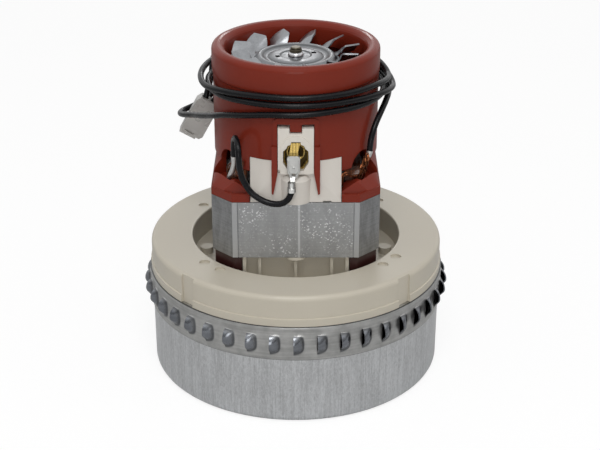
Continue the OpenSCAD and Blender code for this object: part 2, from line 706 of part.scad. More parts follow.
// Pocket in the foot beside each panel, with the gap under the wall's edge
module corner_pocket() {
    top = stack_top + wall_bottom - 0.4;
    sill = foot_z + foot_h + 3.8;
    floor_z = foot_z + 0.6 * foot_h;
    from_x = panel_w / 2 - 0.2;
    to_x = stack_x - 6.3;
    difference() {
        translate([from_x, 0, 0]) rotate([90, 0, 90]) linear_extrude(to_x - from_x) polygon([
            [-stack_y - 1, floor_z], [-stack_y + 4, floor_z], [-stack_y + 6.6, sill],
            [-housing_in + 9, sill], [-housing_in + 9, top], [-stack_y - 1, top]
        ]);
        translate([0, 0, foot_z]) linear_extrude(foot_h) difference() {
            stack_outline(-5);
            stack_outline(1.4);
        }
    }
    translate([0, -housing_in + 9, 0]) rotate([90, 0, 0]) linear_extrude(stack_y - housing_in + 10)
        polygon([[from_x, foot_z + 0.8 * foot_h], [from_x + 7.6, sill], [from_x + 7.6, top], [from_x, top]]);
}

module housing_shell() difference() {
    union() {
        rotate_extrude($fn = round_fn) wall_profile();
        translate([0, 0, foot_z]) linear_extrude(foot_h) stack_outline(0);
        hull() {
            translate([0, 0, foot_z + foot_h - eps]) linear_extrude(eps) stack_outline(0.6);
            translate([0, 0, stack_top + wall_bottom + 0.5]) cylinder(r = housing_r - 1.4, h = eps, $fn = 64);
        }
    }
    front_and_rear() translate([-panel_w / 2 - 0.3, -front_y, foot_z - 1])
        cube([panel_w + 0.6, front_y - housing_in + holder_w, stack_top + panel_top - foot_z + 1]);
}

module bearing_hub() difference() {
    hub_r = bearing_top_r + 3.2;
    low = top_bearing_z - 1.5;
    union() {
        ring(hub_r, bearing_top_r - 3, low, bearing_h + 2);
        for (a = [45 : 90 : 315]) at(a, 0, low) translate([-3, -housing_in - 1, 0])
            cube([6, housing_in + 2 - hub_r, 5]);
    }
    translate([0, 0, top_bearing_z - seat]) cylinder(r = bearing_top_r + fit, h = 3 * bearing_h, $fn = round_fn);
}

module motor_housing() color("brown") {
    wide = window_w / 2;
    difference() {
        union() {
            housing_shell();
            front_and_rear() bezel();
        }
        translate([0, 0, foot_z - 1]) cylinder(r = housing_in, h = rim_z - rim_h - foot_z - 1, $fn = round_fn);
        translate([0, 0, foot_z - 1]) linear_extrude(foot_h + 1 + eps) slot_plan(slot_x + 0.6, slot_y - 1.5, 9);
        translate([0, 0, foot_z - 1]) linear_extrude(coil_overhang + 1.6) slot_plan(slot_x + 0.3, bore_r + 2.9, 1.5);
        front_and_rear() {
            translate([-wide, -front_y, holder_z - 1])
                cube([window_w, front_y - housing_in + 6, window_top - 3.6 - holder_z + 1]);
            for (x = [-wide, 2.7]) translate([x, -front_y, holder_z])
                cube([wide - 2.7, front_y - housing_in + 6, window_top - holder_z]);
        }
        for (a = [53, 127, 233, 307]) at(a, housing_r) corner_opening();
        at_four_corners(screw_x, screw_y)
            translate([0, 0, foot_z - 1]) cylinder(r = screw_r + 0.15, h = screw_top + 1.2 - foot_z, $fn = 24);
        front_and_rear() for (side = [0, 1]) mirror([side, 0, 0]) corner_pocket();
    }
    bearing_hub();
}

// Fasteners
module screw(length, r, head_r, head_h) {
    cylinder(r = r, h = length, $fn = 24);
    translate([0, 0, length]) difference() {
        cylinder(r = head_r, h = head_h, $fn = 32);
        for (turn = [0, 90]) rotate([0, 0, turn]) translate([-head_r * 0.62, -0.4, head_h * 0.5])
            cube([head_r * 1.24, 0.8, head_h]);
    }
}

module housing_screws() color("lightsteelblue") {
    at_four_corners(screw_x, screw_y) translate([0, 0, screw_top]) mirror([0, 0, 1])
        screw(screw_top - cover_z - screw_sink + eps, screw_r, screw_head_r, 2.4);
}

module cover_screws() color("lightsteelblue") {
    under = band_top - can_sheet - eps;
    for (a = [0 : 90 : 270]) at(a, cover_screw_r, under) mirror([0, 0, 1]) translate([0, 0, -cover_wall - 2.6])
        screw(cover_wall + 2.6, screw_r * 0.75, 3, 1.9);
}

// Brush gear, drawn for the front and turned for the rear
module mouth_plan(room) {
    half = [
        [2.1, 5.7], [2.4, 4.4], [3.8, 3.8], [4.3, 2.5], [tube_x + 1.7, 1.2], [tube_x + 1.8, 2 - tube_zh],
        [3.6, -tube_zh - 1.8]
    ];
    polygon(concat(
        [for (p = half) [p[0] - room, p[1] > 0 ? p[1] - room : p[1] + room]],
        [for (i = [len(half) - 1 : -1 : 0]) [room - half[i][0], half[i][1] > 0 ? half[i][1] - room : half[i][1] + room]]
    ));
}

module brush_holder() translate([0, 0, brush_axis_z]) difference() {
    union() {
        translate([-holder_w / 2, -holder_face, holder_z - brush_axis_z]) cube([holder_w, holder_face - holder_back, holder_h]);
        translate([-tube_x - 1.6, -holder_back - eps, -tube_zh - 1.6])
            cube([2 * tube_x + 3.2, holder_back - tube_back, 2 * tube_zh + 3.2]);
        translate([0, -holder_face + eps, 1.6]) rotate([90, 0, 0]) cylinder(r = 6.9, h = 0.6, $fn = 48);
        translate([-6.9, -holder_face - 0.6, holder_z - brush_axis_z]) cube([13.8, 0.7, brush_axis_z + 1.6 - holder_z]);
    }
    translate([-tube_x - fit, -tube_front - 0.1, -tube_zh - fit]) cube([2 * tube_x + 2 * fit, tube_front, 2 * tube_zh + 2 * fit]);
    translate([0, -tube_front + 0.5, 0]) rotate([90, 0, 0]) linear_extrude(10) mouth_plan(0);
    translate([-2.9, -holder_face - 1, window_top - 4 - brush_axis_z]) cube([5.8, holder_face, 8]);
    translate([-holder_w, -holder_face - 1, holder_z - brush_axis_z - 1]) cube([holder_w - 7.2, 3, 3]);
}

module brush_holder_front() color("cornsilk") brush_holder();

module brush_holder_rear() color("cornsilk") rotate([0, 0, 180]) brush_holder();

module brush_tube() translate([0, 0, brush_axis_z]) difference() {
    union() {
        translate([-tube_x, -tube_front, -tube_zh]) cube([2 * tube_x, tube_front - tube_back, 2 * tube_zh]);
        translate([0, -tube_front + 0.4, 0]) rotate([90, 0, 0]) linear_extrude(0.7) mouth_plan(0.1);
    }
    translate([-tube_x + tube_t, -tube_front + tube_t, -tube_zh + tube_t])
        cube([2 * (tube_x - tube_t), tube_front, 2 * (tube_zh - tube_t)]);
}

module brush_tube_front() color("gold") brush_tube();

module brush_tube_rear() color("gold") rotate([0, 0, 180]) brush_tube();

module brush_clip() translate([0, 0, brush_axis_z]) {
    plate_y = tube_front + 0.4;
    loop_y = holder_face - 0.3;
    tab_y = flag_y + 0.75;
    tab_top = 1.6;
    translate([0, -plate_y, 0]) rotate([90, 0, 0]) linear_extrude(1.8) difference() {
        mouth_plan(0.15);
        mouth_plan(0.7);
    }
    translate([-2, -loop_y - 0.5, 4.4]) cube([4, loop_y + 0.5 - plate_y - 0.4, 0.8]);
    translate([flag_x - 2.1, -tab_y - 0.8 + eps, -7]) cube([4.2, 0.8, tab_top + 7]);
    hull() {
        translate([flag_x - 1.9, -tab_y - 0.8 + eps, tab_top - 0.4]) cube([3.8, 0.8, 0.4]);
        translate([-2, -loop_y - 0.5, 4.4]) cube([4, 0.8, 0.8]);
    }
    translate([0, -loop_y, 0.8]) rotate([90, 0, 0]) rotate_extrude($fn = 32) translate([3.9, 0]) circle(r = 0.42, $fn = 12);
}

module brush_clip_front() color("gold") brush_clip();

module brush_clip_rear() color("gold") rotate([0, 0, 180]) brush_clip();

// Push-on terminal: a rolled flag with a pressed disc, drawn in to a neck and
// two crimped barrels
module terminal() {
    flag_z = barrel_z + 6.2;
    flag_h = 10.6;
    side_x = flag_w / 2 - 0.5;
    round = 1.5;
    translate([flag_x, -flag_y, flag_z]) {
        intersection() {
            difference() {
                translate([-flag_w / 2, -2.2, 0]) cube([flag_w, 2.2, flag_h]);
                translate([-flag_w / 2 + 0.7, -1.6, -1]) cube([flag_w - 1.4, 0.9, flag_h + 2]);
                translate([-0.5, -1.2, -1]) cube([1, 2, flag_h + 2]);
                translate([-0.9, -3, 1.1]) cube([1.8, 1.8, 1.1]);
            }
            translate([0, 1, 0]) rotate([90, 0, 0]) linear_extrude(4) polygon(concat(
                [[-1.6, 0], [1.6, 0], [flag_w / 2, 3.4]],
                arc_points(flag_w / 2 - round, flag_h - round, round, 0, 90),
                arc_points(round - flag_w / 2, flag_h - round, round, 90, 180),
                [[-flag_w / 2, 3.4]]
            ));
        }
        translate([0, -2.1, 5]) rotate([90, 0, 0]) cylinder(r = 1.5, h = 0.4, $fn = 32);
        translate([0, -2.4, 5]) rotate([90, 0, 0]) cylinder(r1 = 0.7, r2 = 0.4, h = 0.35, $fn = 24);
        for (side = [-1, 1]) translate([side * side_x, -2.1, 3.2]) {
            cylinder(r = 0.5, h = flag_h - 5, $fn = 16);
            rotate([0, side * 27, 0]) translate([0, 0, -3.6]) cylinder(r = 0.5, h = 3.7, $fn = 16);
        }
    }
    translate([(flag_x + barrel_x) / 2 - 1, 0, 0]) rotate([90, 0, 90]) linear_extrude(2) polygon([
        [-flag_y - 2.2, flag_z + 0.4], [-flag_y - 1.5, flag_z + 0.4], [-flag_y - 1.5, flag_z],
        [0.9 - barrel_y, barrel_z + 4.4], [-barrel_y, barrel_z + 4.4], [-barrel_y, barrel_z + 4.9]
    ]);
    translate([barrel_x, -barrel_y, barrel_z]) {
        difference() {
            cylinder(r = barrel_r, h = 2.1, $fn = 32);
            translate([0, 0, -1]) cylinder(r = barrel_r - 0.5, h = 3.6, $fn = 32);
        }
        difference() {
            translate([0, 0, 2]) cylinder(r1 = barrel_r - 0.2, r2 = barrel_r - 0.45, h = 0.7, $fn = 32);
            translate([0, 0, -1]) cylinder(r = barrel_r - 0.5, h = 3.4, $fn = 32);
        }
        translate([0, 0, 2.5]) cylinder(r = barrel_r - 0.25, h = 2.2, $fn = 32);
    }
}

module terminal_front() color("lightgray") terminal();

module terminal_rear() color("lightgray") rotate([0, 0, 180]) terminal();

// Leads and what they end in
function turned(route, a, way) = [for (p = route) [a - way * p[0], p[1], p[2]]];

module lead_splices() color("lightgray") {
    lead(turned(splice_jumper, -44, -1), splice_r, 2, 8);
    lead(turned(splice_jumper, 136, -1), splice_r, 2, 8);
    lead(turned(splice_supply, 56, -1), splice_r, 2, 8);
    lead(turned(splice_supply, 124, 1), splice_r, 2, 8);
}

module jumper_lead_front() color("black") lead(jumper_route, lead_d / 2, 2, 8);

module jumper_lead_rear() color("black") rotate([0, 0, 180]) lead(jumper_route, lead_d / 2, 2, 8);

module supply_lead_right() color("black") lead(supply_right_route, lead_d / 2, 2, 8);

module supply_lead_left() color("black") lead(supply_left_route, lead_d / 2, 2, 8);

// The connector leans away from the housing at the rear left
module plug_frame() {
    translate(plug_top) rotate([0, plug_lean, 0]) children();
}

module connector_shell() color("whitesmoke") plug_frame() difference() {
    half = plug_w / 2;
    translate([0, plug_t / 2, 0]) rotate([90, 0, 0]) linear_extrude(plug_t) polygon([
        [-half, -plug_len], [half - 3, -plug_len], [half - 3, 0.9 - plug_len], [half - 1.3, 0.9 - plug_len],
        [half, 2.6 - plug_len], [half, -2.6], [half - 1.5, 0], [1.5 - half, 0], [-half, -2.6]
    ]);
    translate([2 - half, -plug_t / 2 - 1, 1.8 - plug_len]) cube([5, 2, 0.9]);
    for (side = [-1, 1]) translate([side * plug_pitch / 2, 0, 0]) {
        translate([0, 0, -plug_len - 1]) cylinder(r = 1.8, h = plug_len + 2, $fn = 32);
    }
}

module connector_contacts() color("gold") plug_frame() for (side = [-1, 1])
    translate([side * plug_pitch / 2, 0, -plug_len + 3]) difference() {
        cylinder(r = 1.8 - fit, h = plug_len - 4.6, $fn = 32);
        translate([0, 0, -1]) cylinder(r = 1.2, h = plug_len - 9, $fn = 32);
    }

// Bearings: outer races stay with the frame, inner races turn with the shaft
module outer_race(outer, inner, z) {
    mid = (outer + inner) / 2;
    translate([0, 0, z]) difference() {
        cylinder(r = outer, h = bearing_h, $fn = round_fn);
        translate([0, 0, -1]) cylinder(r = outer - race_t, h = bearing_h + 2, $fn = round_fn);
        translate([0, 0, bearing_h / 2]) rotate_extrude($fn = round_fn) translate([mid, 0])
            circle(r = ball_radius(outer, inner) + ball_gap, $fn = 32);
    }
}

module inner_race(outer, inner, z) {
    mid = (outer + inner) / 2;
    translate([0, 0, z]) difference() {
        cylinder(r = inner + race_t, h = bearing_h, $fn = round_fn);
        translate([0, 0, -1]) cylinder(r = inner + fit, h = bearing_h + 2, $fn = round_fn);
        translate([0, 0, bearing_h / 2]) rotate_extrude($fn = round_fn) translate([mid, 0])
            circle(r = ball_radius(outer, inner) + ball_gap, $fn = 32);
    }
}

module ball_cage(outer, inner, z) {
    mid = (outer + inner) / 2;
    r = ball_radius(outer, inner);
    translate([0, 0, z + bearing_h / 2]) {
        for (i = [0 : ball_n - 1]) at(360 * i / ball_n, mid) sphere(r = r, $fn = 32);
        difference() {
            ring(mid + 0.5, mid - 0.5, -r - 0.3, 2 * r + 0.6);
            for (i = [0 : ball_n - 1]) at(360 * i / ball_n, mid) sphere(r = r + ball_gap, $fn = 32);
        }
    }
}

module upper_bearing_race() color("silver") outer_race(bearing_top_r, shaft_top_r, top_bearing_z);

module lower_bearing_race() color("silver") outer_race(bearing_low_r, shaft_low_r, low_bearing_z);

module upper_inner_race() color("silver") inner_race(bearing_top_r, shaft_top_r, top_bearing_z);

module lower_inner_race() color("silver") inner_race(bearing_low_r, shaft_low_r, low_bearing_z);

module upper_ball_cage() color("gray") ball_cage(bearing_top_r, shaft_top_r, top_bearing_z);

module lower_ball_cage() color("gray") ball_cage(bearing_low_r, shaft_low_r, low_bearing_z);

// Carbon brushes slide in their tubes and are pushed in by coil springs
module carbon_brush() difference() {
    translate([-brush_w / 2, -brush_end, brush_axis_z - brush_h / 2]) cube([brush_w, brush_len + 2, brush_h]);
    cylinder(r = commutator_r + fit, h = rim_z, $fn = round_fn);
}

module carbon_brush_front() color("dimgray") carbon_brush();

module carbon_brush_rear() color("dimgray") rotate([0, 0, 180]) carbon_brush();

module brush_spring() {
    r = brush_w / 2 - 0.7;
    start = brush_end + spring_wire + 0.1;
    travel = tube_front - tube_t - brush_end - 2 * spring_wire - 0.2;
    steps = spring_turns * 8;
    line = [for (i = [0 : steps]) let (a = 360 * i / 8)
        [r * cos(a), -start - travel * i / steps, brush_axis_z + r * sin(a)]];
    outward = [for (i = [0 : steps]) let (a = 360 * i / 8) [cos(a), 0, sin(a)]];
    swept(line, outward, spring_wire, 6);
}

module brush_spring_front() color("silver") brush_spring();

module brush_spring_rear() color("silver") rotate([0, 0, 180]) brush_spring();

// Rotor
module rotor_shaft() color("silver") {
    mid_top = commutator_top + 1;
    translate([0, 0, shaft_bottom]) cylinder(r = shaft_low_r, h = low_bearing_top - shaft_bottom + eps, $fn = 48);
    translate([0, 0, low_bearing_top]) cylinder(r = shaft_mid_r, h = mid_top - low_bearing_top, $fn = 48);
    translate([0, 0, mid_top - eps]) cylinder(r = shaft_top_r + 1, h = top_bearing_z - mid_top + eps, $fn = 48);
    translate([0, 0, top_bearing_z - eps]) cylinder(r = shaft_top_r, h = bearing_h + 2 * eps, $fn = 48);
    translate([0, 0, top_bearing_top]) cylinder(r = shaft_top_r + 1.2, h = fan_z - top_bearing_top, $fn = 48);
    translate([0, 0, fan_z - eps]) cylinder(r = stud_r, h = shaft_end_z - fan_z - 0.5, $fn = 32);
    translate([0, 0, shaft_end_z - 0.5 - 2 * eps]) cylinder(r1 = stud_r, r2 = stud_r - 0.5, h = 0.5, $fn = 32);
}

module armature_core() color("slategray") difference() {
    ring(core_r, shaft_mid_r + fit, stack_z, stack_h);
    for (i = [0 : slot_n - 1]) at(360 * i / slot_n, core_r - 6, stack_z - 1) {
        cylinder(r = 3, h = stack_h + 2, $fn = 24);
        translate([-0.8, -7, 0]) cube([1.6, 5, stack_h + 2]);
    }
}

module winding_end() {
    rotate_extrude($fn = round_fn) polygon(concat(
        [[shaft_mid_r + 1.4, 0], [core_r - 1.6, 0]],
        arc_points(core_r - 5.6, winding_h - 4, 4, 0, 90),
        [[shaft_mid_r + 1.4, winding_h - 1.5]]
    ));
}

module armature_winding() color("chocolate") {
    translate([0, 0, stack_top + eps]) winding_end();
    translate([0, 0, stack_z - eps]) mirror([0, 0, 1]) winding_end();
}

module commutator() color("goldenrod") difference() {
    union() {
        ring(commutator_r, shaft_mid_r + fit, commutator_z, commutator_top - commutator_z);
        ring(commutator_r + 1.8, shaft_mid_r + fit, commutator_z - 2, 2.6);
    }
    for (i = [0 : bar_n - 1]) at(360 * (i + 0.5) / bar_n, commutator_r - 0.8, commutator_z - 3)
        translate([-0.25, -4, 0]) cube([0.5, 4, commutator_top - commutator_z + 4]);
}

// Cooling fan: a pressed disc with its blades twisted up from the rim
module fan_blade() {
    root = fan_disc_r - 3;
    rotate([0, fan_pitch, 0]) translate([0, 0, -fan_sheet / 2]) linear_extrude(fan_sheet) polygon([
        [-fan_chord * 0.34, -root], [fan_chord * 0.16, -root], [fan_chord * 0.2, -fan_disc_r],
        [-fan_chord * 0.1, -fan_r + 0.5], [-fan_chord * 0.98, -fan_r * 0.985], [-fan_chord * 0.86, -fan_disc_r - 2.4]
    ]);
}

module cooling_fan() color("silver") translate([0, 0, fan_z]) {
    low = 0.05;
    high = 0.75;
    difference() {
        rotate_extrude($fn = round_fn) polygon([
            [stud_r + fit, low], [7.4, low], [8.2, high], [13.4, high], [14.2, low], [fan_disc_r, low],
            [fan_disc_r, low + fan_sheet], [14.6, low + fan_sheet], [13.8, high + fan_sheet],
            [7.8, high + fan_sheet], [7, low + fan_sheet], [stud_r + fit, low + fan_sheet]
        ]);
        for (turn = [0, 180]) rotate([0, 0, turn + 14]) translate([10.2, -0.8, -1]) cube([2.6, 1.6, 4]);
    }
    for (i = [0 : fan_blade_n - 1]) rotate([0, 0, 360 * i / fan_blade_n + 18])
        translate([0, 0, low + fan_sheet / 2]) fan_blade();
}

module fan_nut() color("silver") difference() {
    nut_z = fan_z + fan_sheet + 0.05 + eps;
    union() {
        translate([0, 0, nut_z]) cylinder(r1 = 4.6, r2 = 3.6, h = 1.1, $fn = 32);
        translate([0, 0, nut_z + 1]) cylinder(r = 4, h = 2.7, $fn = 6);
    }
    translate([0, 0, nut_z - 1]) cylinder(r = stud_r + fit, h = 8, $fn = 32);
}

module impeller_spacers() color("silver") {
    ring(spacer_r, shaft_low_r + fit, impeller1_top + eps, impeller2_top - 2.4 - impeller1_top - 2 * eps);
    ring(spacer_r, shaft_low_r + fit, impeller2_top + eps, low_bearing_z - impeller2_top - 2 * eps);
}

module impeller_nut() color("silver") difference() {
    under = impeller1_top - 2.4 - eps;
    union() {
        translate([0, 0, under - 1]) cylinder(r = shaft_low_r + 4.3, h = 1, $fn = 48);
        translate([0, 0, under - 4.4]) cylinder(r = shaft_low_r * 1.8, h = 3.5, $fn = 6);
    }
    translate([0, 0, under - 6]) cylinder(r = shaft_low_r + fit, h = 8, $fn = 32);
}

// The least gap between turns of a lead, measured between its ring centres
function rows_of(route) = [for (p = smooth(route, 6)) place(p)];
function self_gap(line) = min([for (i = [0 : len(line) - 32], j = [i + 31 : len(line) - 1]) norm(line[i] - line[j])]) - lead_d;
function pair_gap(a, b) = min([for (p = a, q = b) norm(p - q)]) - lead_d;
echo(supply_right_self_gap = self_gap(rows_of(supply_right_route)));
echo(supply_left_self_gap = self_gap(rows_of(supply_left_route)));
echo(gap_between_supply_leads = pair_gap(rows_of(supply_right_route), rows_of(supply_left_route)));

fan_case();
louvre_band();
stage_guide();
cover_bracket();
lower_coil_guard();
stator_core();
field_coil_left();
field_coil_right();
front_panel();
rear_panel();
motor_housing();
housing_screws();
cover_screws();
brush_holder_front();
brush_holder_rear();
brush_tube_front();
brush_tube_rear();
brush_clip_front();
brush_clip_rear();
terminal_front();
terminal_rear();
lead_splices();
jumper_lead_front();
jumper_lead_rear();
supply_lead_right();
supply_lead_left();
connector_shell();
connector_contacts();
upper_bearing_race();
lower_bearing_race();
upper_ball_cage();
lower_ball_cage();
carbon_brush_front();
carbon_brush_rear();
brush_spring_front();
brush_spring_rear();
rotor_shaft();
armature_core();
armature_winding();
commutator();
upper_inner_race();
lower_inner_race();
cooling_fan();
fan_nut();
impeller_lower();
impeller_upper();
impeller_spacers();
impeller_nut();
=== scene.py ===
"""Vacuum motor unit: camera, leads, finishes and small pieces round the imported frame."""
import math
import random

import bmesh
import bpy
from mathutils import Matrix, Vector


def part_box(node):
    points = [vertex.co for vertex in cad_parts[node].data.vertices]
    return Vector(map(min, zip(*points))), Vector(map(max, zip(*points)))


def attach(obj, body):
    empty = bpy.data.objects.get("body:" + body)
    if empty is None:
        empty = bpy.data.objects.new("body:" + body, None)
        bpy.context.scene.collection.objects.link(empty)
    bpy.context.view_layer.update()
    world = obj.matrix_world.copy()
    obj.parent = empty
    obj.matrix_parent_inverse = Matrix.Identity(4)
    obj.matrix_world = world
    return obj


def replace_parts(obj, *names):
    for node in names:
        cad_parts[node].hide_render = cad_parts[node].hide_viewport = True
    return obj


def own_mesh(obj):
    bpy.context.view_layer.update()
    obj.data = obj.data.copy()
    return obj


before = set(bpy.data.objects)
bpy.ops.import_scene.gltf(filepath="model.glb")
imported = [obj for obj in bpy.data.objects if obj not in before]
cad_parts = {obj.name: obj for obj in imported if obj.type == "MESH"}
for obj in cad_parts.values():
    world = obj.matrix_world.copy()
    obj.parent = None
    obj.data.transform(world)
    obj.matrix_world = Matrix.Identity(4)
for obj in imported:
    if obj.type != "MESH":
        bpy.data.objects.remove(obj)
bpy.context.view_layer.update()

bl_info = {
    "name": "Vacuum motor unit",
    "version": (1, 0, 0),
    "blender": (4, 5, 0),
    "location": "View3D > Sidebar > Motor",
    "description": "Dresses the packed vacuum motor with leads, small pieces and finishes",
    "category": "Object",
}

MM = 0.001
ROOT = "motor_frame"
ROTOR = "rotor"

# Radii, heights and sheet thickness, in millimetres
CASE_WALL = 72.0
BAND_WALL = 73.0
BAND_LOW = 34.15
BAND_TOP = 51.4
FAN_Z = 155.5
FAN_SHEET = 0.8
NUT_Z = 157.32
SHAFT_HOLE = 2.56

# Lead routes: angle from the front towards the right, radius and height, in degrees and millimetres
SUPPLY_RIGHT = [
    [56, 41.6, 118], [57.5, 41.7, 124], [63, 41.8, 130], [71, 42.4, 134.6], [80, 43.2, 137.6],
    [90, 44.2, 139.6], [105, 44.9, 141.6], [125, 44.9, 144], [150, 44.7, 145.6], [175, 44.6, 145.9],
    [195, 44.6, 146.3], [205, 44.6, 147.4], [215, 44.7, 148.4], [228, 44.8, 148.9], [245, 44.9, 149],
    [260, 45, 148.5], [272, 45, 147.8], [288, 44.4, 147.4], [308, 42.9, 148.9], [327, 41.8, 150.1],
    [344, 41.5, 150.5], [360, 41.5, 150.5], [383, 41.6, 150.6], [405, 42, 150.4], [420, 42.4, 150],
    [435, 43.2, 148.7], [450, 43.8, 147.8], [464, 42.8, 149.4], [485, 41.7, 151.1], [510, 41.5, 151.2],
    [530, 41.5, 151.8], [550, 41.5, 152.7], [565, 41.6, 153], [578, 42.4, 153.2], [586, 44.6, 153],
    [592, 47.3, 151.4], [596.5, 48.8, 147.4], [599, 48.4, 141], [602, 48.2, 135.5], [604.5, 48.5, 131.5],
    [605.8, 48.8, 128.9],
]
SUPPLY_LEFT = [
    [124, 41.6, 118], [124, 41.6, 125], [127, 41.6, 131], [135, 41.5, 135.5], [148, 41.5, 138.5],
    [165, 41.9, 139.8], [185, 42, 140.2], [205, 41.8, 140.4], [220, 41.5, 141.4], [235, 41.5, 143.2],
    [250, 41.5, 145], [265, 41.5, 145.9], [277, 41.5, 145.9], [290, 41.5, 145.5], [310, 41.5, 145.9],
    [322, 41.5, 146.5], [335, 41.5, 146.8], [360, 41.5, 146.9], [378, 41.5, 146.8], [395, 41.7, 146.6],
    [408, 42.5, 146.2], [425, 44.2, 145.3], [438, 45.4, 144.2], [450, 46, 143.4], [463, 45.2, 145.3],
    [476, 43, 146.9], [487, 41.7, 147.5], [510, 41.5, 147.7], [532, 41.5, 147.8], [544, 42.8, 148.8],
    [554, 45, 149.9], [565, 47.9, 149], [575, 48.7, 145], [582, 49.3, 139], [589, 50.3, 131.5],
    [596, 53.8, 125.3], [601, 58.7, 121.9], [606, 61.2, 120.9], [611, 60.5, 121.3], [617, 57, 123],
    [622.5, 52.8, 125], [630, 48.2, 127.4], [646, 43.7, 131.5], [658, 42.5, 134.5], [670, 41.7, 137.3],
    [689, 41.5, 140.4], [705, 41.5, 142.2], [724, 41.5, 142.7], [744, 41.5, 143.1], [757, 41.5, 143],
    [770, 41.5, 142.8], [788, 41.5, 142.5], [810, 41.5, 142.3], [825, 41.5, 143.1], [845, 41.5, 144.1],
    [870, 41.5, 144.2], [905, 41.5, 144.1], [921, 41.7, 144], [930, 43.6, 143.5], [940, 45.2, 141.9],
    [947, 45.6, 139], [954, 45.4, 136], [960, 44.6, 132.6], [963, 44, 129.8], [963.8, 45.3, 127.1],
]
JUMPER = [
    [-44, 41.2, 117.8], [-44, 41.2, 122.4], [-42.5, 42, 126.4], [-38.9, 44, 128.9], [-34.9, 46.8, 128.9],
    [-32, 49.2, 126.4], [-31, 50.2, 122.4], [-30.6, 50, 117.2], [-29.4, 49.1, 111.8], [-25.6, 47.7, 105.8],
    [-19.2, 46.8, 102.2], [-13.2, 46.4, 100.9], [-8, 46.4, 101.4], [-4.4, 46.4, 103.5], [-2.4, 46.4, 107.2],
]

# The crimped sleeve and the loose wires where a jumper starts, and where a supply lead starts
JUMPER_SLEEVE = [
    [-44, 41.2, 118.1], [-44.2, 41.3, 114.4], [-45.2, 41.6, 110.8], [-46.8, 42.2, 108], [-47.8, 42.4, 105.9],
]
JUMPER_WIRES = [
    [[-49.5, 41.3, 105.4], [-50, 41.3, 108.4], [-49, 41.2, 111.8], [-46.6, 40.6, 113.6]],
    [[-47, 41, 105.6], [-43.4, 41, 106.6], [-40.6, 41, 109.6], [-38.6, 40.8, 113.4], [-38, 40, 116.6]],
]
SUPPLY_SLEEVE = [[56, 41.6, 118.2], [55.4, 41.6, 116.9], [54.4, 41.6, 115.6]]
SUPPLY_BUNDLE = [
    [54.6, 41.6, 116.2], [51.6, 41.9, 114.6], [49.4, 41.9, 112.2], [49, 41.6, 109.6], [47.4, 40.8, 107.2],
    [44, 39.6, 106],
]
SUPPLY_STRANDS = [
    [46, 40.4, 107.4], [41, 40.8, 108.4], [37, 41.2, 110], [33.6, 41.5, 111.2], [31.2, 41.7, 110.7],
    [30.7, 41.6, 108.4], [31, 41.2, 105.6],
]


def place(point):
    """A point of angle, radius and height as a place in metres."""
    angle, radius, height = math.radians(point[0]), point[1], point[2]
    return Vector((radius * math.sin(angle), -radius * math.cos(angle), height)) * MM


def run(route, steps=6):
    """Places along the smooth curve through a route, the same curve as the solid's."""
    line = []
    last = len(route) - 1
    for i in range(last):
        near = list(zip(route[max(i - 1, 0)], route[i], route[i + 1], route[min(i + 2, last)]))
        for j in range(steps):
            t = j / steps
            line.append([
                (2 * q + (r - p) * t + (2 * p - 5 * q + 4 * r - s) * t * t
                 + (3 * q - p - 3 * r + s) * t ** 3) / 2
                for p, q, r, s in near
            ])
    line.append(route[last])
    return [place(point) for point in line]


def turned(route, turn):
    """A route moved round the shaft by an angle."""
    return [(p[0] + turn, p[1], p[2]) for p in route]


def mirrored(route, side):
    """A front route as it is for a side of 1, and mirrored to the rear for -1."""
    return [(90 + side * (p[0] - 90), p[1], p[2]) for p in route]


def half_turn(point):
    """The same place on the rear, half a turn round the shaft."""
    return Vector((-point[0], -point[1], point[2]))


def line_length(line):
    return sum((b - a).length for a, b in zip(line, line[1:]))


def new_mesh(name, points, faces, smooth_faces=True, corner=40):
    """A mesh piece with its normals turned outward, and sharp edges where it turns by more than corner."""
    mesh = bpy.data.meshes.new(name)
    mesh.from_pydata([tuple(p) for p in points], [], faces)
    bm = bmesh.new()
    bm.from_mesh(mesh)
    bmesh.ops.remove_doubles(bm, verts=bm.verts, dist=1e-7)
    bmesh.ops.recalc_face_normals(bm, faces=bm.faces)
    for face in bm.faces:
        face.smooth = smooth_faces
    bm.to_mesh(mesh)
    bm.free()
    if smooth_faces:
        mesh.set_sharp_from_angle(angle=math.radians(corner))
    piece = bpy.data.objects.new(name, mesh)
    bpy.context.scene.collection.objects.link(piece)
    return piece


def new_curve(name, lines, radius, rounds):
    """A piece of one or more round strands along lines of points."""
    data = bpy.data.curves.new(name, "CURVE")
    data.dimensions = "3D"
    data.bevel_depth = radius
    data.bevel_resolution = rounds
    data.use_fill_caps = True
    for line in lines:
        spline = data.splines.new("POLY")
        spline.points.add(len(line) - 1)
        for point, p in zip(spline.points, line):
            point.co = (p[0], p[1], p[2], 1)
        spline.use_smooth = True
    piece = bpy.data.objects.new(name, data)
    bpy.context.scene.collection.objects.link(piece)
    return piece


def tube(line, radii, sides):
    """Points and faces of a closed tube along a line, with a radius for each point."""
    points, faces = [], []
    side = None
    for i, p in enumerate(line):
        heading = (line[min(i + 1, len(line) - 1)] - line[max(i - 1, 0)]).normalized()
        if side is None:
            other = Vector((0, 0, 1)) if abs(heading.z) < 0.9 else Vector((1, 0, 0))
            side = heading.cross(other).normalized()
        side = (side - heading * side.dot(heading)).normalized()
        up = heading.cross(side)
        for k in range(sides):
            a = 2 * math.pi * k / sides
            points.append(p + radii[i] * (math.cos(a) * side + math.sin(a) * up))
    for i in range(len(line) - 1):
        for k in range(sides):
            a, b = i * sides + k, i * sides + (k + 1) % sides
            faces.append((a, b, b + sides, a + sides))
    faces.append(tuple(range(sides)))
    faces.append(tuple(range((len(line) - 1) * sides, len(line) * sides)))
    return points, faces


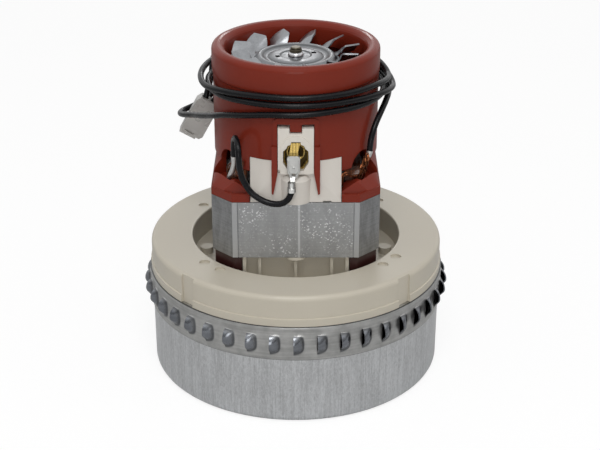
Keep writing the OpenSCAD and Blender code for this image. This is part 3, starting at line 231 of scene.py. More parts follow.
def eased(value):
    """0 to 1 with a soft start and end."""
    value = min(max(value, 0.0), 1.0)
    return value * value * (3 - 2 * value)


def sheet(grid, thickness):
    """Points and faces of a closed sheet of even thickness, from a grid of points on its middle."""
    rows, columns = len(grid), len(grid[0])
    points, faces = [], []
    for side in (0.5, -0.5):
        for i in range(rows):
            for j in range(columns):
                along = grid[min(i + 1, rows - 1)][j] - grid[max(i - 1, 0)][j]
                across = grid[i][min(j + 1, columns - 1)] - grid[i][max(j - 1, 0)]
                points.append(grid[i][j] + along.cross(across).normalized() * side * thickness)

    def spot(layer, i, j):
        return (layer * rows + i) * columns + j

    for layer in (0, 1):
        for i in range(rows - 1):
            for j in range(columns - 1):
                loop = ((i, j), (i + 1, j), (i + 1, j + 1), (i, j + 1))
                faces.append(tuple(spot(layer, *corner) for corner in loop))
    rim = [(0, j) for j in range(columns)] + [(i, columns - 1) for i in range(1, rows)]
    rim += [(rows - 1, j) for j in range(columns - 2, -1, -1)] + [(i, 0) for i in range(rows - 2, 0, -1)]
    for a, b in zip(rim, rim[1:] + rim[:1]):
        faces.append((spot(0, *a), spot(0, *b), spot(1, *b), spot(1, *a)))
    return points, faces


def lathe(profile, sides, skip=None):
    """Points and faces of a closed outline of radius and height turned round the shaft."""
    count = len(profile)
    points, faces = [], []
    for k in range(sides):
        a = 2 * math.pi * k / sides
        points.extend(Vector((r * math.sin(a), -r * math.cos(a), z)) * MM for r, z in profile)
    for k in range(sides):
        start, after = k * count, (k + 1) % sides * count
        for i in range(count):
            j = (i + 1) % count
            if not (skip and skip(i, k)):
                faces.append((start + i, after + i, after + j, start + j))
    return points, faces


def joined(parts):
    """Points and faces of several shapes as one."""
    points, faces = [], []
    for more, loops in parts:
        start = len(points)
        points.extend(more)
        faces.extend(tuple(start + k for k in loop) for loop in loops)
    return points, faces


def twisted(route, count, spread, turns, draw):
    """Lines of wires that wind round one another along a route."""
    middle = run(route, 8)
    last = len(middle) - 1
    lines = []
    for k in range(count):
        start = 2 * math.pi * (k + draw.uniform(-0.3, 0.3)) / count
        reach = spread * draw.uniform(0.6, 1.15) * MM
        line = []
        for i, p in enumerate(middle):
            heading = (middle[min(i + 1, last)] - middle[max(i - 1, 0)]).normalized()
            outward = Vector((p.x, p.y, 0)).normalized()
            across = heading.cross(outward).normalized()
            a = start + 2 * math.pi * turns * i / last
            line.append(p + reach * (math.cos(a) * across + 0.5 * math.sin(a) * outward))
        lines.append(line)
    return lines


class Field:
    """A number that varies over a surface, which takes Python arithmetic."""

    def __init__(self, finish, socket):
        self.finish, self.socket = finish, socket

    def math(self, operation, *others):
        values = (self.socket, *others)
        return self.finish.node("ShaderNodeMath", {"operation": operation}, dict(enumerate(values)))

    def __add__(self, other):
        return self.math("ADD", other)

    def __mul__(self, other):
        return self.math("MULTIPLY", other)

    def __sub__(self, other):
        return self.math("SUBTRACT", other)

    def __rsub__(self, other):
        return self.finish.node("ShaderNodeMath", {"operation": "SUBTRACT"}, {0: other, 1: self.socket})

    def __truediv__(self, other):
        return self.math("DIVIDE", other)

    def __gt__(self, other):
        return self.math("GREATER_THAN", other)

    def __lt__(self, other):
        return self.math("LESS_THAN", other)

    __radd__ = __add__
    __rmul__ = __mul__


def lighter(colour, factor):
    """A colour times a factor, which may also darken it."""
    return tuple(min(1, c * factor) for c in colour)


class Finish:
    """A node material with one main shader."""

    def __init__(self, name, colour, roughness, metallic=0.0, **constants):
        self.material = bpy.data.materials.new(name)
        self.material.use_nodes = True
        self.tree = self.material.node_tree
        self.shader = next(n for n in self.tree.nodes if n.type == "BSDF_PRINCIPLED")
        self.colour, self.roughness = colour, roughness
        self.material.diffuse_color = (*colour, 1)
        self.shader.inputs["Base Color"].default_value = (*colour, 1)
        self.shader.inputs["Roughness"].default_value = roughness
        self.shader.inputs["Metallic"].default_value = metallic
        for socket, value in constants.items():
            self.shader.inputs[socket.replace("_", " ")].default_value = value

    @classmethod
    def on_tree(cls, tree):
        """The same helpers on the world's nodes."""
        bare = cls.__new__(cls)
        bare.tree = tree
        return bare

    def node(self, kind, settings=None, sockets=None, output=0):
        """Adds a node: settings first, then the values or links of its sockets."""
        made = self.tree.nodes.new(kind)
        for key, value in (settings or {}).items():
            setattr(made, key, value)
        for key, value in (sockets or {}).items():
            value = value.socket if isinstance(value, Field) else value
            if isinstance(value, bpy.types.NodeSocket):
                self.tree.links.new(value, made.inputs[key])
            else:
                made.inputs[key].default_value = value
        return made if output is None else Field(self, made.outputs[output])

    def where(self):
        """The place on the object, as a vector in metres."""
        return self.node("ShaderNodeTexCoord", output="Object")

    def parts(self, vector):
        """The three numbers of a vector."""
        made = self.node("ShaderNodeSeparateXYZ", None, {0: vector}, None)
        return [Field(self, socket) for socket in made.outputs]

    def vector(self, x, y, z):
        return self.node("ShaderNodeCombineXYZ", None, {0: x, 1: y, 2: z})

    def grey(self, value):
        """A number as a grey colour."""
        return self.node("ShaderNodeCombineColor", None, {0: value, 1: value, 2: value})

    def red_of(self, colour):
        """The first number of a colour."""
        return self.node("ShaderNodeSeparateColor", None, {0: colour})

    def noise(self, where, scale, detail=3.0, rough=0.55, warp=0.0):
        return self.node("ShaderNodeTexNoise", None, {
            "Vector": where, "Scale": scale, "Detail": detail, "Roughness": rough, "Distortion": warp})

    def cells(self, where, scale):
        """A random colour for each of many small cells."""
        return self.node("ShaderNodeTexVoronoi", None, {"Vector": where, "Scale": scale}, "Color")

    def ramp(self, value, low, high, shade_low=0.0, shade_high=1.0):
        return self.node("ShaderNodeMapRange", {"interpolation_type": "SMOOTHSTEP"}, {
            0: value, 1: low, 2: high, 3: shade_low, 4: shade_high})

    def blend(self, factor, first, second):
        """Mixes two colours."""
        first, second = ((*c, 1) if isinstance(c, (tuple, list)) else c for c in (first, second))
        return self.node("ShaderNodeMix", {"data_type": "RGBA"}, {0: factor, 6: first, 7: second}, output=2)

    def shade(self, low, high, factor):
        """The finish's colour, darkened to low and lightened to high by a factor."""
        return self.blend(factor, lighter(self.colour, low), lighter(self.colour, high))

    def wear(self, cloud, less, more):
        """The finish's roughness, less where the cloud is thin and more where it is thick."""
        return self.ramp(cloud, 0.3, 0.7, self.roughness - less, self.roughness + more)

    def paint(self, colour, roughness=None):
        self.tree.links.new(colour.socket, self.shader.inputs["Base Color"])
        if roughness is not None:
            self.tree.links.new(roughness.socket, self.shader.inputs["Roughness"])

    def bump(self, height, depth, strength):
        """Raises the surface by height times depth, in metres."""
        made = self.node("ShaderNodeBump", None, {"Strength": strength, "Distance": depth, "Height": height})
        self.tree.links.new(made.socket, self.shader.inputs["Normal"])
        return self


def arc_length(x, y):
    """How far round the shaft a place is, measured along the case's wall."""
    return y.math("ARCTAN2", x) * (CASE_WALL * MM)


def from_shaft(x, y):
    """How far a place is from the shaft."""
    return (x * x + y * y).math("SQRT")


def ridges(across, pitch):
    """0 to 1 and back over each pitch."""
    return (across / pitch).math("FRACT").math("PINGPONG", 0.5) * 2


def galvanised(name, colour, roughness):
    """Drawn zinc-coated sheet with upright streaks and a faint spangle."""
    f = Finish(name, colour, roughness, 1.0)
    x, y, z = f.parts(f.where())
    arc = arc_length(x, y)
    streak = f.noise(f.vector(arc * 1300, z * 40, 0), 1.0, 3.0, 0.6, 0.6)
    drag = f.noise(f.vector(arc * 300, z * 14, 5), 1.0, 4.0, 0.6)
    broad = f.noise(f.vector(arc * 60, z * 30, 3), 1.0, 3.0, 0.5)
    fine = f.noise(f.vector(arc * 1300, z * 520, 9), 1.0, 3.0, 0.65, 0.8)
    tone = streak * 0.3 + drag * 0.16 + broad * 0.16 + fine * 0.38
    f.paint(f.shade(0.78, 1.2, f.ramp(tone, 0.36, 0.64)), f.wear(tone, 0.06, 0.08))
    return f.bump(streak * 0.4 + drag * 0.3 + fine * 0.3, 0.00003, 0.5)


def band_sheet(name, colour, roughness):
    """Pressed sheet with painted shade: the drawn louvres darker and bluer for their dim reflections, painted
    shadow and dirt at their feet, and painted shadow along both edges.
    """
    f = Finish(name, colour, roughness, 1.0)
    where = f.where()
    x, y, z = f.parts(where)
    radius, wall = from_shaft(x, y), BAND_WALL * MM
    drawn = f.ramp(radius, wall + 0.0003, wall + 0.0017)
    # Painted shadow and dirt: a dark ring at each louvre's foot, where it meets the wall.
    foot = f.ramp(radius, wall + 0.00005, wall + 0.0004)
    foot = foot * f.ramp(radius, wall + 0.0006, wall + 0.0018, 1.0, 0.0)
    # Painted shadow along the band's lower edge over the case and along its top edge under the cover.
    low_edge_shadow = z < (BAND_LOW + 0.4) * MM
    top_edge_shadow = (z > (BAND_TOP - 0.15) * MM) * (radius > CASE_WALL * MM)
    cloud = f.noise(where, 160, 4.0, 0.6)
    line = f.noise(f.vector(arc_length(x, y) * 30, z * 900, 0), 1.0, 3.0)
    tone = f.ramp(cloud * 0.6 + line * 0.4, 0.3, 0.7)
    # Painted shade: the drawn louvres are painted darker and bluer than the wall, for their dim reflections.
    louvre = f.blend(tone, (0.18, 0.19, 0.21), (0.27, 0.285, 0.31))
    base = f.blend(drawn, f.shade(0.78, 1.2, tone), louvre)
    base = f.blend(foot * 0.8, base, (0.05, 0.055, 0.065))
    base = f.blend(low_edge_shadow.math("MAXIMUM", top_edge_shadow) * 0.8, base, (0.03, 0.034, 0.04))
    f.paint(base, f.wear(cloud, 0.06, 0.1) - drawn * 0.19)
    return f.bump(cloud, 0.00003, 0.5)


def moulded(name, colour, roughness, grain=1400, depth=0.00001, tone=0.06, **constants):
    """Moulded plastic with a fine grain and a slight change of tone."""
    f = Finish(name, colour, roughness, 0.0, **constants)
    where = f.where()
    cloud = f.noise(where, 45, 4.0, 0.6)
    fine = f.noise(where, grain, 2.0, 0.6)
    f.paint(f.shade(1 - tone, 1 + tone, cloud * 0.6 + fine * 0.4), f.wear(cloud, 0.04, 0.06))
    return f.bump(fine, depth, 0.6)


def laminations(name, colour, roughness):
    """Edges of stacked sheets, pressed and streaked; the flat front and rear faces painted lighter as lit
    faces, with white specks on them as painted glints.
    """
    f = Finish(name, colour, roughness, 1.0)
    where = f.where()
    x, y, z = f.parts(where)
    thickness, front_face = 0.0005, 0.0405
    face_edge, strip_start, strip_end, weld_at = 0.0268, 0.0272, 0.0296, 0.0015
    seam = f.ramp(ridges(z, thickness), 0.0, 0.32)
    each = f.noise(f.vector(0, 0, (z / thickness).math("FLOOR")), 7.3, 1.0)
    drag = f.noise(f.vector(x * 260, y * 260, z * 60), 1.0, 4.0, 0.65)
    sideways = x.math("ABSOLUTE")
    outside = y.math("ABSOLUTE") > front_face
    face = (sideways < face_edge) * outside
    strip = (sideways > strip_start) * (sideways < strip_end) * outside
    spot = f.red_of(f.cells(where, 1900))
    patch = f.ramp(f.noise(f.vector(x * 55, y * 55, z * 75), 1.0, 3.0, 0.6), 0.42, 0.62)
    # Painted glints: white specks on the front and rear faces stand in for highlights, strongest in patches.
    painted_glint = f.ramp(spot, 0.86, 0.97) * face * (patch * 0.85 + 0.15)
    mottle = f.noise(where, 620, 3.0, 0.7)
    tone = drag * 0.4 + each * 0.25 + mottle * 0.35
    weld = f.ramp((x - weld_at).math("ABSOLUTE"), 0.0002, 0.0007, 1.0, 0.0) * (y < -front_face)
    base = f.shade(0.62, 1.3, f.ramp(tone, 0.3, 0.7))
    # Painted light: the front and rear faces are painted lighter than the sides, as lit faces, and the narrow
    # strips beside their grooves lighter still.
    base = f.blend(face * 0.4 + strip * 0.75, base, lighter(colour, 1.7))
    base = f.blend(weld * 0.55, base, lighter(colour, 2.6))
    base = f.blend(painted_glint, base, (0.95, 0.96, 0.97))
    base = f.blend((1 - seam) * 0.35, base, lighter(colour, 0.35))
    f.paint(base, f.wear(mottle, 0.08, 0.14))
    return f.bump(mottle * face * 0.7 + spot * face * 0.5 + seam * 0.25, 0.00009, 0.7)


def bare_metal(name, colour, roughness):
    """Bright metal with faint cloudy wear."""
    f = Finish(name, colour, roughness, 1.0)
    cloud = f.noise(f.where(), 900, 4.0, 0.6)
    f.paint(f.shade(0.85, 1.15, cloud), f.wear(cloud, 0.06, 0.1))
    return f.bump(cloud, 0.00001, 0.6)


def tinned(name, colour, roughness):
    """Tinned sheet: painted highlights on its raised edges and disc, and painted shade on the flag between
    them.
    """
    f = Finish(name, colour, roughness, 1.0)
    where = f.where()
    low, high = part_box("terminal_front")
    tip = max(abs(low[1]), abs(high[1]))
    depth = f.parts(where)[1].math("ABSOLUTE")
    flag = f.ramp(depth, tip - 0.0032, tip - 0.0028)
    raised_painted_highlight = f.ramp(depth, tip - 0.0005, tip - 0.0003)
    cloud = f.noise(where, 260, 3.0, 0.6)
    # Painted light: raised edges and disc painted lighter as highlights, the flag between them painted darker
    # as shade.
    face = f.blend(raised_painted_highlight, lighter(colour, 0.5), lighter(colour, 1.3))
    f.paint(f.blend(flag, f.shade(0.86, 1.14, cloud), face), f.wear(cloud, 0.05, 0.08))
    return f.bump(cloud, 0.00002, 0.6)


def pressed_brass(name, colour, roughness):
    """Bright brass strip with shallow ribs pressed down it, and painted light and shade across the ribs."""
    f = Finish(name, colour, roughness, 1.0)
    where = f.where()
    rib = ridges(f.parts(where)[0], 0.0014)
    cloud = f.noise(where, 700, 3.0, 0.6)
    # Painted light and shade: the colour follows the ribs, lighter on their crests and darker between them.
    f.paint(f.shade(0.55, 1.15, f.ramp(rib + cloud * 0.5, 0.2, 0.9)), f.wear(cloud, 0.06, 0.08))
    return f.bump(rib, 0.00035, 0.8)


def turned_metal(name, colour, roughness):
    """Turned or pressed round metal with fine marks round the shaft, painted shade near the shaft, and darker
    painted shade in grooves near it.
    """
    f = Finish(name, colour, roughness, 1.0)
    where = f.where()
    x, y, z = f.parts(where)
    radius = from_shaft(x, y)
    ring = f.noise(f.vector(radius * 2600, z * 1500, 0), 1.0, 3.0, 0.7)
    cloud = f.noise(where, 210, 3.0, 0.6)
    base = f.shade(0.78, 1.15, f.ramp(ring * 0.5 + cloud * 0.5, 0.32, 0.68))
    # Painted shade: dark rings in the disc's grooves, and everything within about 18 mm of the shaft painted
    # darker, fading out by 21.5 mm.
    grooves = sum(
        f.ramp((radius - at).math("ABSOLUTE"), 0.0002, 0.0007, 1.0, 0.0) for at in (0.0072, 0.0129, 0.0155)
    )
    shadow = f.ramp(radius, 0.0175, 0.0215, 0.36, 0.0) + grooves * 0.4
    f.paint(f.blend(shadow, base, lighter(colour, 0.2)), f.wear(cloud, 0.06, 0.1))
    return f.bump(ring, 0.00001, 0.6)


def nut_metal(name, colour, roughness):
    """Polished foot below, dark oiled thread above."""
    f = Finish(name, colour, roughness, 1.0)
    where = f.where()
    neck = f.ramp(f.parts(where)[2], (NUT_Z + 1.63) * MM, (NUT_Z + 1.88) * MM)
    cloud = f.noise(where, 900, 3.0, 0.6)
    oiled = f.blend(cloud, (0.03, 0.026, 0.02), (0.16, 0.14, 0.1))
    f.paint(f.blend(neck, f.shade(0.9, 1.4, cloud), oiled), f.ramp(neck, 0.0, 1.0, roughness, 0.36))
    return f.bump(cloud, 0.00001, 0.5)


def wound_copper(name, colour, roughness):
    """Enamelled wire laid side by side, as ridges, under a thin varnish, with painted shade between the
    wires.
    """
    f = Finish(name, colour, roughness, 0.75, Coat_Weight=0.6, Coat_Roughness=0.2)
    where = f.where()
    wire = ridges(f.parts(where)[0], 0.0007)
    cloud = f.noise(where, 240, 3.0, 0.6)
    # Painted shade: each wire is lighter on its crest and darker in the creases between wires.
    f.paint(f.blend(f.ramp(wire + cloud * 0.4, 0.1, 0.8), lighter(colour, 0.3), colour))
    return f.bump(wire, 0.00025, 0.9)


def loose_copper(name, colour, roughness):
    """Copper wire, bright where it is bare and brown where varnish clings."""
    f = Finish(name, colour, roughness, 1.0)
    varnish = f.ramp(f.noise(f.where(), 420, 2.0, 0.6), 0.36, 0.5)
    brown = f.blend(varnish, colour, lighter(colour, 0.22))
    f.paint(brown, f.ramp(varnish, 0.0, 1.0, roughness, roughness + 0.12))
    return f.bump(varnish, 0.00004, 0.5)


def insulation(name, colour, roughness):
    """Soft lead insulation with a low sheen."""
    f = Finish(name, colour, roughness, 0.0, Specular_IOR_Level=0.22)
    where = f.where()
    cloud = f.noise(where, 300, 3.0, 0.6)
    f.paint(f.shade(0.8, 1.4, cloud), f.wear(cloud, 0.06, 0.08))
    return f.bump(f.noise(where, 2200, 2.0), 0.000008, 0.6)


def colour_property(name, description, colour):
    return bpy.props.FloatVectorProperty(name=name, description=description, subtype="COLOR", default=colour)


def length_property(name, description, length):
    return bpy.props.FloatProperty(name=name, description=description, default=length, unit="LENGTH")


def power_property(name, description, power):
    return bpy.props.FloatProperty(name=name, description=description, default=power, subtype="POWER")


class MotorColours(bpy.types.PropertyGroup):
    """Colours of the finishes."""

    case: colour_property("Case", "Zinc-coated sheet of the fan case", (0.63, 0.64, 0.65))
    band: colour_property("Band", "Sheet of the louvre band and the stage guide", (0.47, 0.47, 0.46))
    cream: colour_property("Cream plastic", "Cover ring", (0.56, 0.515, 0.425))
    white: colour_property("White plastic", "Insulating panels", (0.66, 0.62, 0.565))
    holder: colour_property("Holder plastic", "Brush holders", (0.74, 0.695, 0.63))
    housing: colour_property("Housing", "Moulded motor housing", (0.195, 0.0225, 0.0105))
    guard: colour_property("Guard", "Coil guard under the stack", (0.03, 0.006, 0.005))
    stack: colour_property("Laminations", "Edges of the lamination stack", (0.31, 0.315, 0.32))
    copper: colour_property("Varnished copper", "Wound coils under their varnish", (0.19, 0.06, 0.02))
    wire: colour_property("Copper wire", "Loose ends of the coils, and the commutator", (0.62, 0.22, 0.095))
    brass: colour_property("Brass", "Brush clips and contacts", (0.56, 0.4, 0.13))
    # Painted shade: the brush tubes' brass gets a near-black colour for the shade deep in the holders'
    # recesses.
    shaded_tube_brass: colour_property("Tube brass", "Darkened brass of the brush tubes", (0.06, 0.042, 0.016))
    tin: colour_property("Tinned metal", "Terminals and crimped sleeves", (0.68, 0.68, 0.66))
    steel: colour_property("Steel", "Screws, shaft and bearings", (0.5, 0.5, 0.51))
    aluminium: colour_property("Fan sheet", "Cooling fan and impellers", (0.32, 0.33, 0.345))
    lead: colour_property("Lead", "Insulation of the leads", (0.0045, 0.0048, 0.006))
    nylon: colour_property("Nylon", "Shell of the connector", (0.62, 0.61, 0.58))
    carbon: colour_property("Carbon", "Brushes", (0.02, 0.02, 0.022))


class MotorSizes(bpy.types.PropertyGroup):
    """Sizes of the pieces that are made here."""

    lead: length_property("Lead diameter", "Diameter over the insulation", 2.9 * MM)
    louvres: bpy.props.IntProperty(
        name="Louvres", description="Number of louvres round the band", default=42, min=24, max=48)
    louvre_rise: length_property("Louvre rise", "How far a louvre stands out", 3.1 * MM)
    blades: bpy.props.IntProperty(
        name="Fan blades", description="Number of blades of the cooling fan", default=12, min=9, max=14)
    strand: length_property("Strand radius", "Radius of one copper wire of the coils' ends", 0.3 * MM)


class MotorView(bpy.types.PropertyGroup):
    """The camera and the light."""

    back: length_property("Distance", "Camera's distance in front of the shaft", 0.59495)
    height: length_property("Height", "Camera's height above the floor", 0.34794)
    tilt: bpy.props.FloatProperty(
        name="Tilt", description="How far the camera looks down", default=math.radians(25.12),
        subtype="ANGLE", unit="ROTATION")
    lens: bpy.props.FloatProperty(
        name="Lens", description="Focal length for a 36 mm wide sensor", default=78.97)
    shift: bpy.props.FloatProperty(name="Shift", description="Sideways shift of the lens", default=0.007)
    sky: bpy.props.FloatProperty(name="Sky", description="Strength of the even light", default=0.47)
    key: power_property("Key lamp", "Power of the lamp above the camera", 4.0)
    front: power_property("Front lamp", "Power of the low lamp in front", 2.0)
    fill: power_property("Side lamps", "Power of each lamp at the sides", 0.35)
    back_lamp: power_property("Back lamp", "Power of the lamp behind, which glints on what faces up", 0.3)


# Each finish's maker, its colour in the sidebar, its roughness, and what else the maker takes
FINISHES = {
    "galvanised": (galvanised, "case", 0.4, {}),
    "band_steel": (band_sheet, "band", 0.36, {}),
    "cream_plastic": (moulded, "cream", 0.32, {"grain": 1500, "depth": 0.00005, "tone": 0.05}),
    "white_plastic": (moulded, "white", 0.36, {"tone": 0.04}),
    "holder_plastic": (moulded, "holder", 0.34, {"tone": 0.04}),
    "housing_plastic": (moulded, "housing", 0.42, {
        "grain": 1100, "depth": 0.00004, "tone": 0.12,
        "Specular_IOR_Level": 0.12, "Coat_Weight": 0.2, "Coat_Roughness": 0.1}),
    "guard_plastic": (moulded, "guard", 0.35, {}),
    "laminations": (laminations, "stack", 0.4, {}),
    "coil_copper": (wound_copper, "copper", 0.35, {}),
    "wire_copper": (loose_copper, "wire", 0.28, {}),
    "brass": (pressed_brass, "brass", 0.26, {}),
    # The tube brass is painted near black as painted shade in the holders' recesses.
    "tube_brass": (bare_metal, "shaded_tube_brass", 0.34, {}),
    "tinned_metal": (tinned, "tin", 0.4, {}),
    "screw_steel": (bare_metal, "steel", 0.3, {}),
    "nut_steel": (nut_metal, "steel", 0.22, {}),
    "bearing_steel": (turned_metal, "steel", 0.22, {}),
    "fan_aluminium": (turned_metal, "aluminium", 0.34, {}),
    "lead_black": (insulation, "lead", 0.25, {}),
    "nylon_white": (moulded, "nylon", 0.3, {"Transmission_Weight": 0.25, "IOR": 1.5}),
    "carbon": (moulded, "carbon", 0.55, {"grain": 900, "depth": 0.00003, "tone": 0.3}),
}
MADE = {}


def finish_for(name):
    """Each finish is made once, from its colour in the sidebar."""
    if name not in MADE:
        maker, key, roughness, more = FINISHES[name]
        colour = tuple(getattr(bpy.context.scene.motor_colours, key))
        MADE[name] = maker(name, colour, roughness, **more).material
    return MADE[name]


def dress(finish, *nodes):
    """Gives nodes of the frame their finish."""
    for node in nodes:
        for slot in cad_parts[node].material_slots:
            slot.material = finish_for(finish)


def settle(piece, finish, body=ROOT):
    """Gives a new piece its finish and its body."""
    piece.data.materials.append(finish_for(finish))
    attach(piece, body)
    return piece


class MOTOR_OT_camera(bpy.types.Operator):
    """Camera at the photograph's place"""

    bl_idname = "motor.camera"
    bl_label = "Camera"

    def execute(self, context):
        view = context.scene.motor_view
        data = bpy.data.cameras.new("camera")
        data.lens, data.sensor_width, data.shift_x = view.lens, 36, view.shift
        camera = bpy.data.objects.new("camera", data)
        camera.location = (0, -view.back, view.height)
        camera.rotation_euler = (math.pi / 2 - view.tilt, 0, 0)
        context.scene.collection.objects.link(camera)
        context.scene.camera = camera
        return {"FINISHED"}


class MOTOR_OT_leads(bpy.types.Operator):
    """Two jumper leads and the two supply leads wound round the housing"""

    bl_idname = "motor.leads"
    bl_label = "Leads"

    def execute(self, context):
        diameter = context.scene.motor_sizes.lead
        jumper = run(JUMPER)
        runs = {
            "supply_lead_right": (run(SUPPLY_RIGHT), "connector", [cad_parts["connector_shell"]]),
            "supply_lead_left": (run(SUPPLY_LEFT), "connector", [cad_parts["connector_contacts"]]),
            "jumper_lead_front": (jumper, "object", []),
            "jumper_lead_rear": ([half_turn(p) for p in jumper], "object", []),
        }
        for node, (line, far_end, pieces) in runs.items():
            lead = new_curve(node + "_insulation", [line], diameter / 2, rounds=5)
            settle(lead, "lead_black")
            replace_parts(lead, node)
            line_length(line)
        return {"FINISHED"}


def louvre_height(s, t, rise):
    """How far a louvre stands out, at s from its lip to its closed end and t from its middle to its tips."""
    if s >= 1 or abs(t) >= 1:
        return 0.0
    bulge = (1 - abs(t) ** 2.2) ** 0.66 * (1 - s ** 1.75) * (0.3 + 0.7 * eased((t + 0.8) / 0.75))
    soft = 0.12
    return rise * (math.hypot(bulge, soft) - soft) / (math.hypot(1, soft) - soft)


def louvre_band(sizes):
    """Points and faces of the band: a sheet wall with pressed louvres, each slit open along its left edge."""
    middle, half, width, first = 41.85, 5.5, 5.3, -0.82
    plate_hole, plate, edge = 16.0, 1.0, 0.3
    thick, lip_thick = 0.8, 0.55
    # How far the wall's lowest rows draw in
    hem = {0: 0.4, 1: 0.1}
    spread = [-math.cos(math.pi * k / 16) for k in range(17)]
    rows = [BAND_LOW, BAND_LOW + 0.2, BAND_LOW + 0.5] + [middle + half * t for t in spread]
    rows += [48.6, 50.0, BAND_TOP - edge]
    inside = range(3, 20)
    dome = [(j / 9) ** 1.15 for j in range(10)]
    step = math.degrees(width / BAND_WALL)
    rest = 360 / sizes.louvres - step
    columns = []
    for i in range(sizes.louvres):
        start = 360 * i / sizes.louvres + first
        columns.append((start, None))
        columns.extend((start + step * s, s) for s in dome)
        columns.extend((start + step + rest * share, None) for share in (0.35, 0.7))
    count = len(columns)
    layer_size = len(rows) * count
    points, faces = [], []
    for layer in (0, 1):
        for k, z in enumerate(rows):
            for angle, s in columns:
                lift = 0.0
                if s is not None and k in inside:
                    lift = louvre_height(s, (z - middle) / half, sizes.louvre_rise / MM)
                depth = (thick, lip_thick)[lift > 0] if layer else hem.get(k, 0.0)
                points.append(place((angle, BAND_WALL + lift - depth, z)))

    slits = [c for c in range(count) if columns[c][1] is None and columns[(c + 1) % count][1] == 0.0]

    def stripe(a, b):
        """Faces between two rings of points, apart from the slits."""
        for c in range(count):
            d = (c + 1) % count
            if c not in slits:
                faces.append((a + c, a + d, b + d, b + c))

    for a in (0, layer_size):
        for k in range(len(rows) - 1):
            stripe(a + k * count, a + (k + 1) * count)
    for k in inside[:-1]:
        for c in slits:
            for a in (k * count + c, k * count + c + 1):
                faces.append((a, a + count, layer_size + a + count, layer_size + a))
    stripe(0, layer_size)

    # The top plate carries on from the wall's last row
    top = layer_size - count
    rings = [(BAND_WALL - 0.09, BAND_TOP - 0.09), (BAND_WALL - edge, BAND_TOP), (plate_hole, BAND_TOP),
             (plate_hole, BAND_TOP - plate), (BAND_WALL - thick, BAND_TOP - plate)]
    levels = [top]
    for radius, z in rings:
        levels.append(len(points))
        points.extend(place((angle, radius, z)) for angle, _ in columns)
    levels.append(layer_size + top)
    for a, b in zip(levels, levels[1:]):
        stripe(a, b)
    return points, faces


class MOTOR_OT_case(bpy.types.Operator):
    """Fan case, louvre band and the working fans inside"""

    bl_idname = "motor.case"
    bl_label = "Fan case"

    def execute(self, context):
        dress("galvanised", "fan_case")
        band = new_mesh("louvred_sheet", *louvre_band(context.scene.motor_sizes), corner=50)
        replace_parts(settle(band, "band_steel"), "louvre_band")
        dress("band_steel", "stage_guide")
        dress("fan_aluminium", "impeller_lower", "impeller_upper")
        dress("bearing_steel", "impeller_spacers", "impeller_nut")
        return {"FINISHED"}


class MOTOR_OT_cover(bpy.types.Operator):
    """Cover ring, coil guard and the cover's screws"""

    bl_idname = "motor.cover"
    bl_label = "Cover"

    def execute(self, context):
        dress("cream_plastic", "cover_bracket")
        dress("guard_plastic", "lower_coil_guard")
        dress("screw_steel", "cover_screws")
        return {"FINISHED"}


class MOTOR_OT_stator(bpy.types.Operator):
    """Lamination stack, field coils and insulating panels"""

    bl_idname = "motor.stator"
    bl_label = "Stator"

    def execute(self, context):
        dress("laminations", "stator_core")
        dress("coil_copper", "field_coil_left", "field_coil_right")
        dress("white_plastic", "front_panel", "rear_panel")
        return {"FINISHED"}


class MOTOR_OT_housing(bpy.types.Operator):
    """Moulded housing and the long screws"""

    bl_idname = "motor.housing"
    bl_label = "Housing"

    def execute(self, context):
        dress("housing_plastic", "motor_housing")
        dress("screw_steel", "housing_screws")
        return {"FINISHED"}


def brush_spring(low, high):
    """Points and faces of a coil spring that fills a box, wound along the brush."""
    wire, turns, steps = 0.35 * MM, 6, 24
    radius = (high.x - low.x) / 2 - wire
    middle = (low + high) / 2
    start, span = low.y + wire, high.y - low.y - 2 * wire
    line = []
    for i in range(turns * steps + 1):
        a = 2 * math.pi * i / steps
        along = start + span * i / (turns * steps)
        line.append(Vector((middle.x + radius * math.cos(a), along, middle.z + radius * math.sin(a))))
    return tube(line, [wire] * len(line), sides=10)


class MOTOR_OT_brush_gear(bpy.types.Operator):
    """Brush holders, tubes, clips, brushes and springs"""

    bl_idname = "motor.brush_gear"
    bl_label = "Brush gear"

    def execute(self, context):
        for end in ("front", "rear"):
            dress("holder_plastic", "brush_holder_" + end)
            dress("tube_brass", "brush_tube_" + end)
            dress("brass", "brush_clip_" + end)
            dress("tinned_metal", "terminal_" + end)
            dress("carbon", "carbon_brush_" + end)
            node = "brush_spring_" + end
            low, high = (Vector(corner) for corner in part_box(node))
            spring = settle(new_mesh("coil_spring_" + end, *brush_spring(low, high)), "screw_steel")
            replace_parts(spring, node)
            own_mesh(spring)
        return {"FINISHED"}


def sleeve(route, radius):
    """Points and faces of a crimped sleeve, with its radius from 0 at the route's start to 1 at its end."""
    line = run(route)
    last = len(line) - 1
    return tube(line, [radius(i / last) * MM for i in range(last + 1)], sides=20)


class MOTOR_OT_connector(bpy.types.Operator):
    """Two-way connector on the supply leads, and the sleeves at the leads' other ends"""

    bl_idname = "motor.connector"
    bl_label = "Connector"

    def execute(self, context):
        dress("nylon_white", "connector_shell")
        dress("brass", "connector_contacts")

        def jumper_radius(t):
            return 1.5 - 0.45 * eased(t / 0.25) + 0.2 * math.sin(math.pi * t) ** 2

        def supply_radius(t):
            return 1.6 - 0.35 * eased(t)

        shapes = [sleeve(turned(JUMPER_SLEEVE, turn), jumper_radius) for turn in (0, 180)]
        shapes += [sleeve(mirrored(SUPPLY_SLEEVE, side), supply_radius) for side in (1, -1)]
        sleeves = new_mesh("crimped_sleeves", *joined(shapes), corner=50)
        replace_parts(settle(sleeves, "tinned_metal"), "lead_splices")
        return {"FINISHED"}


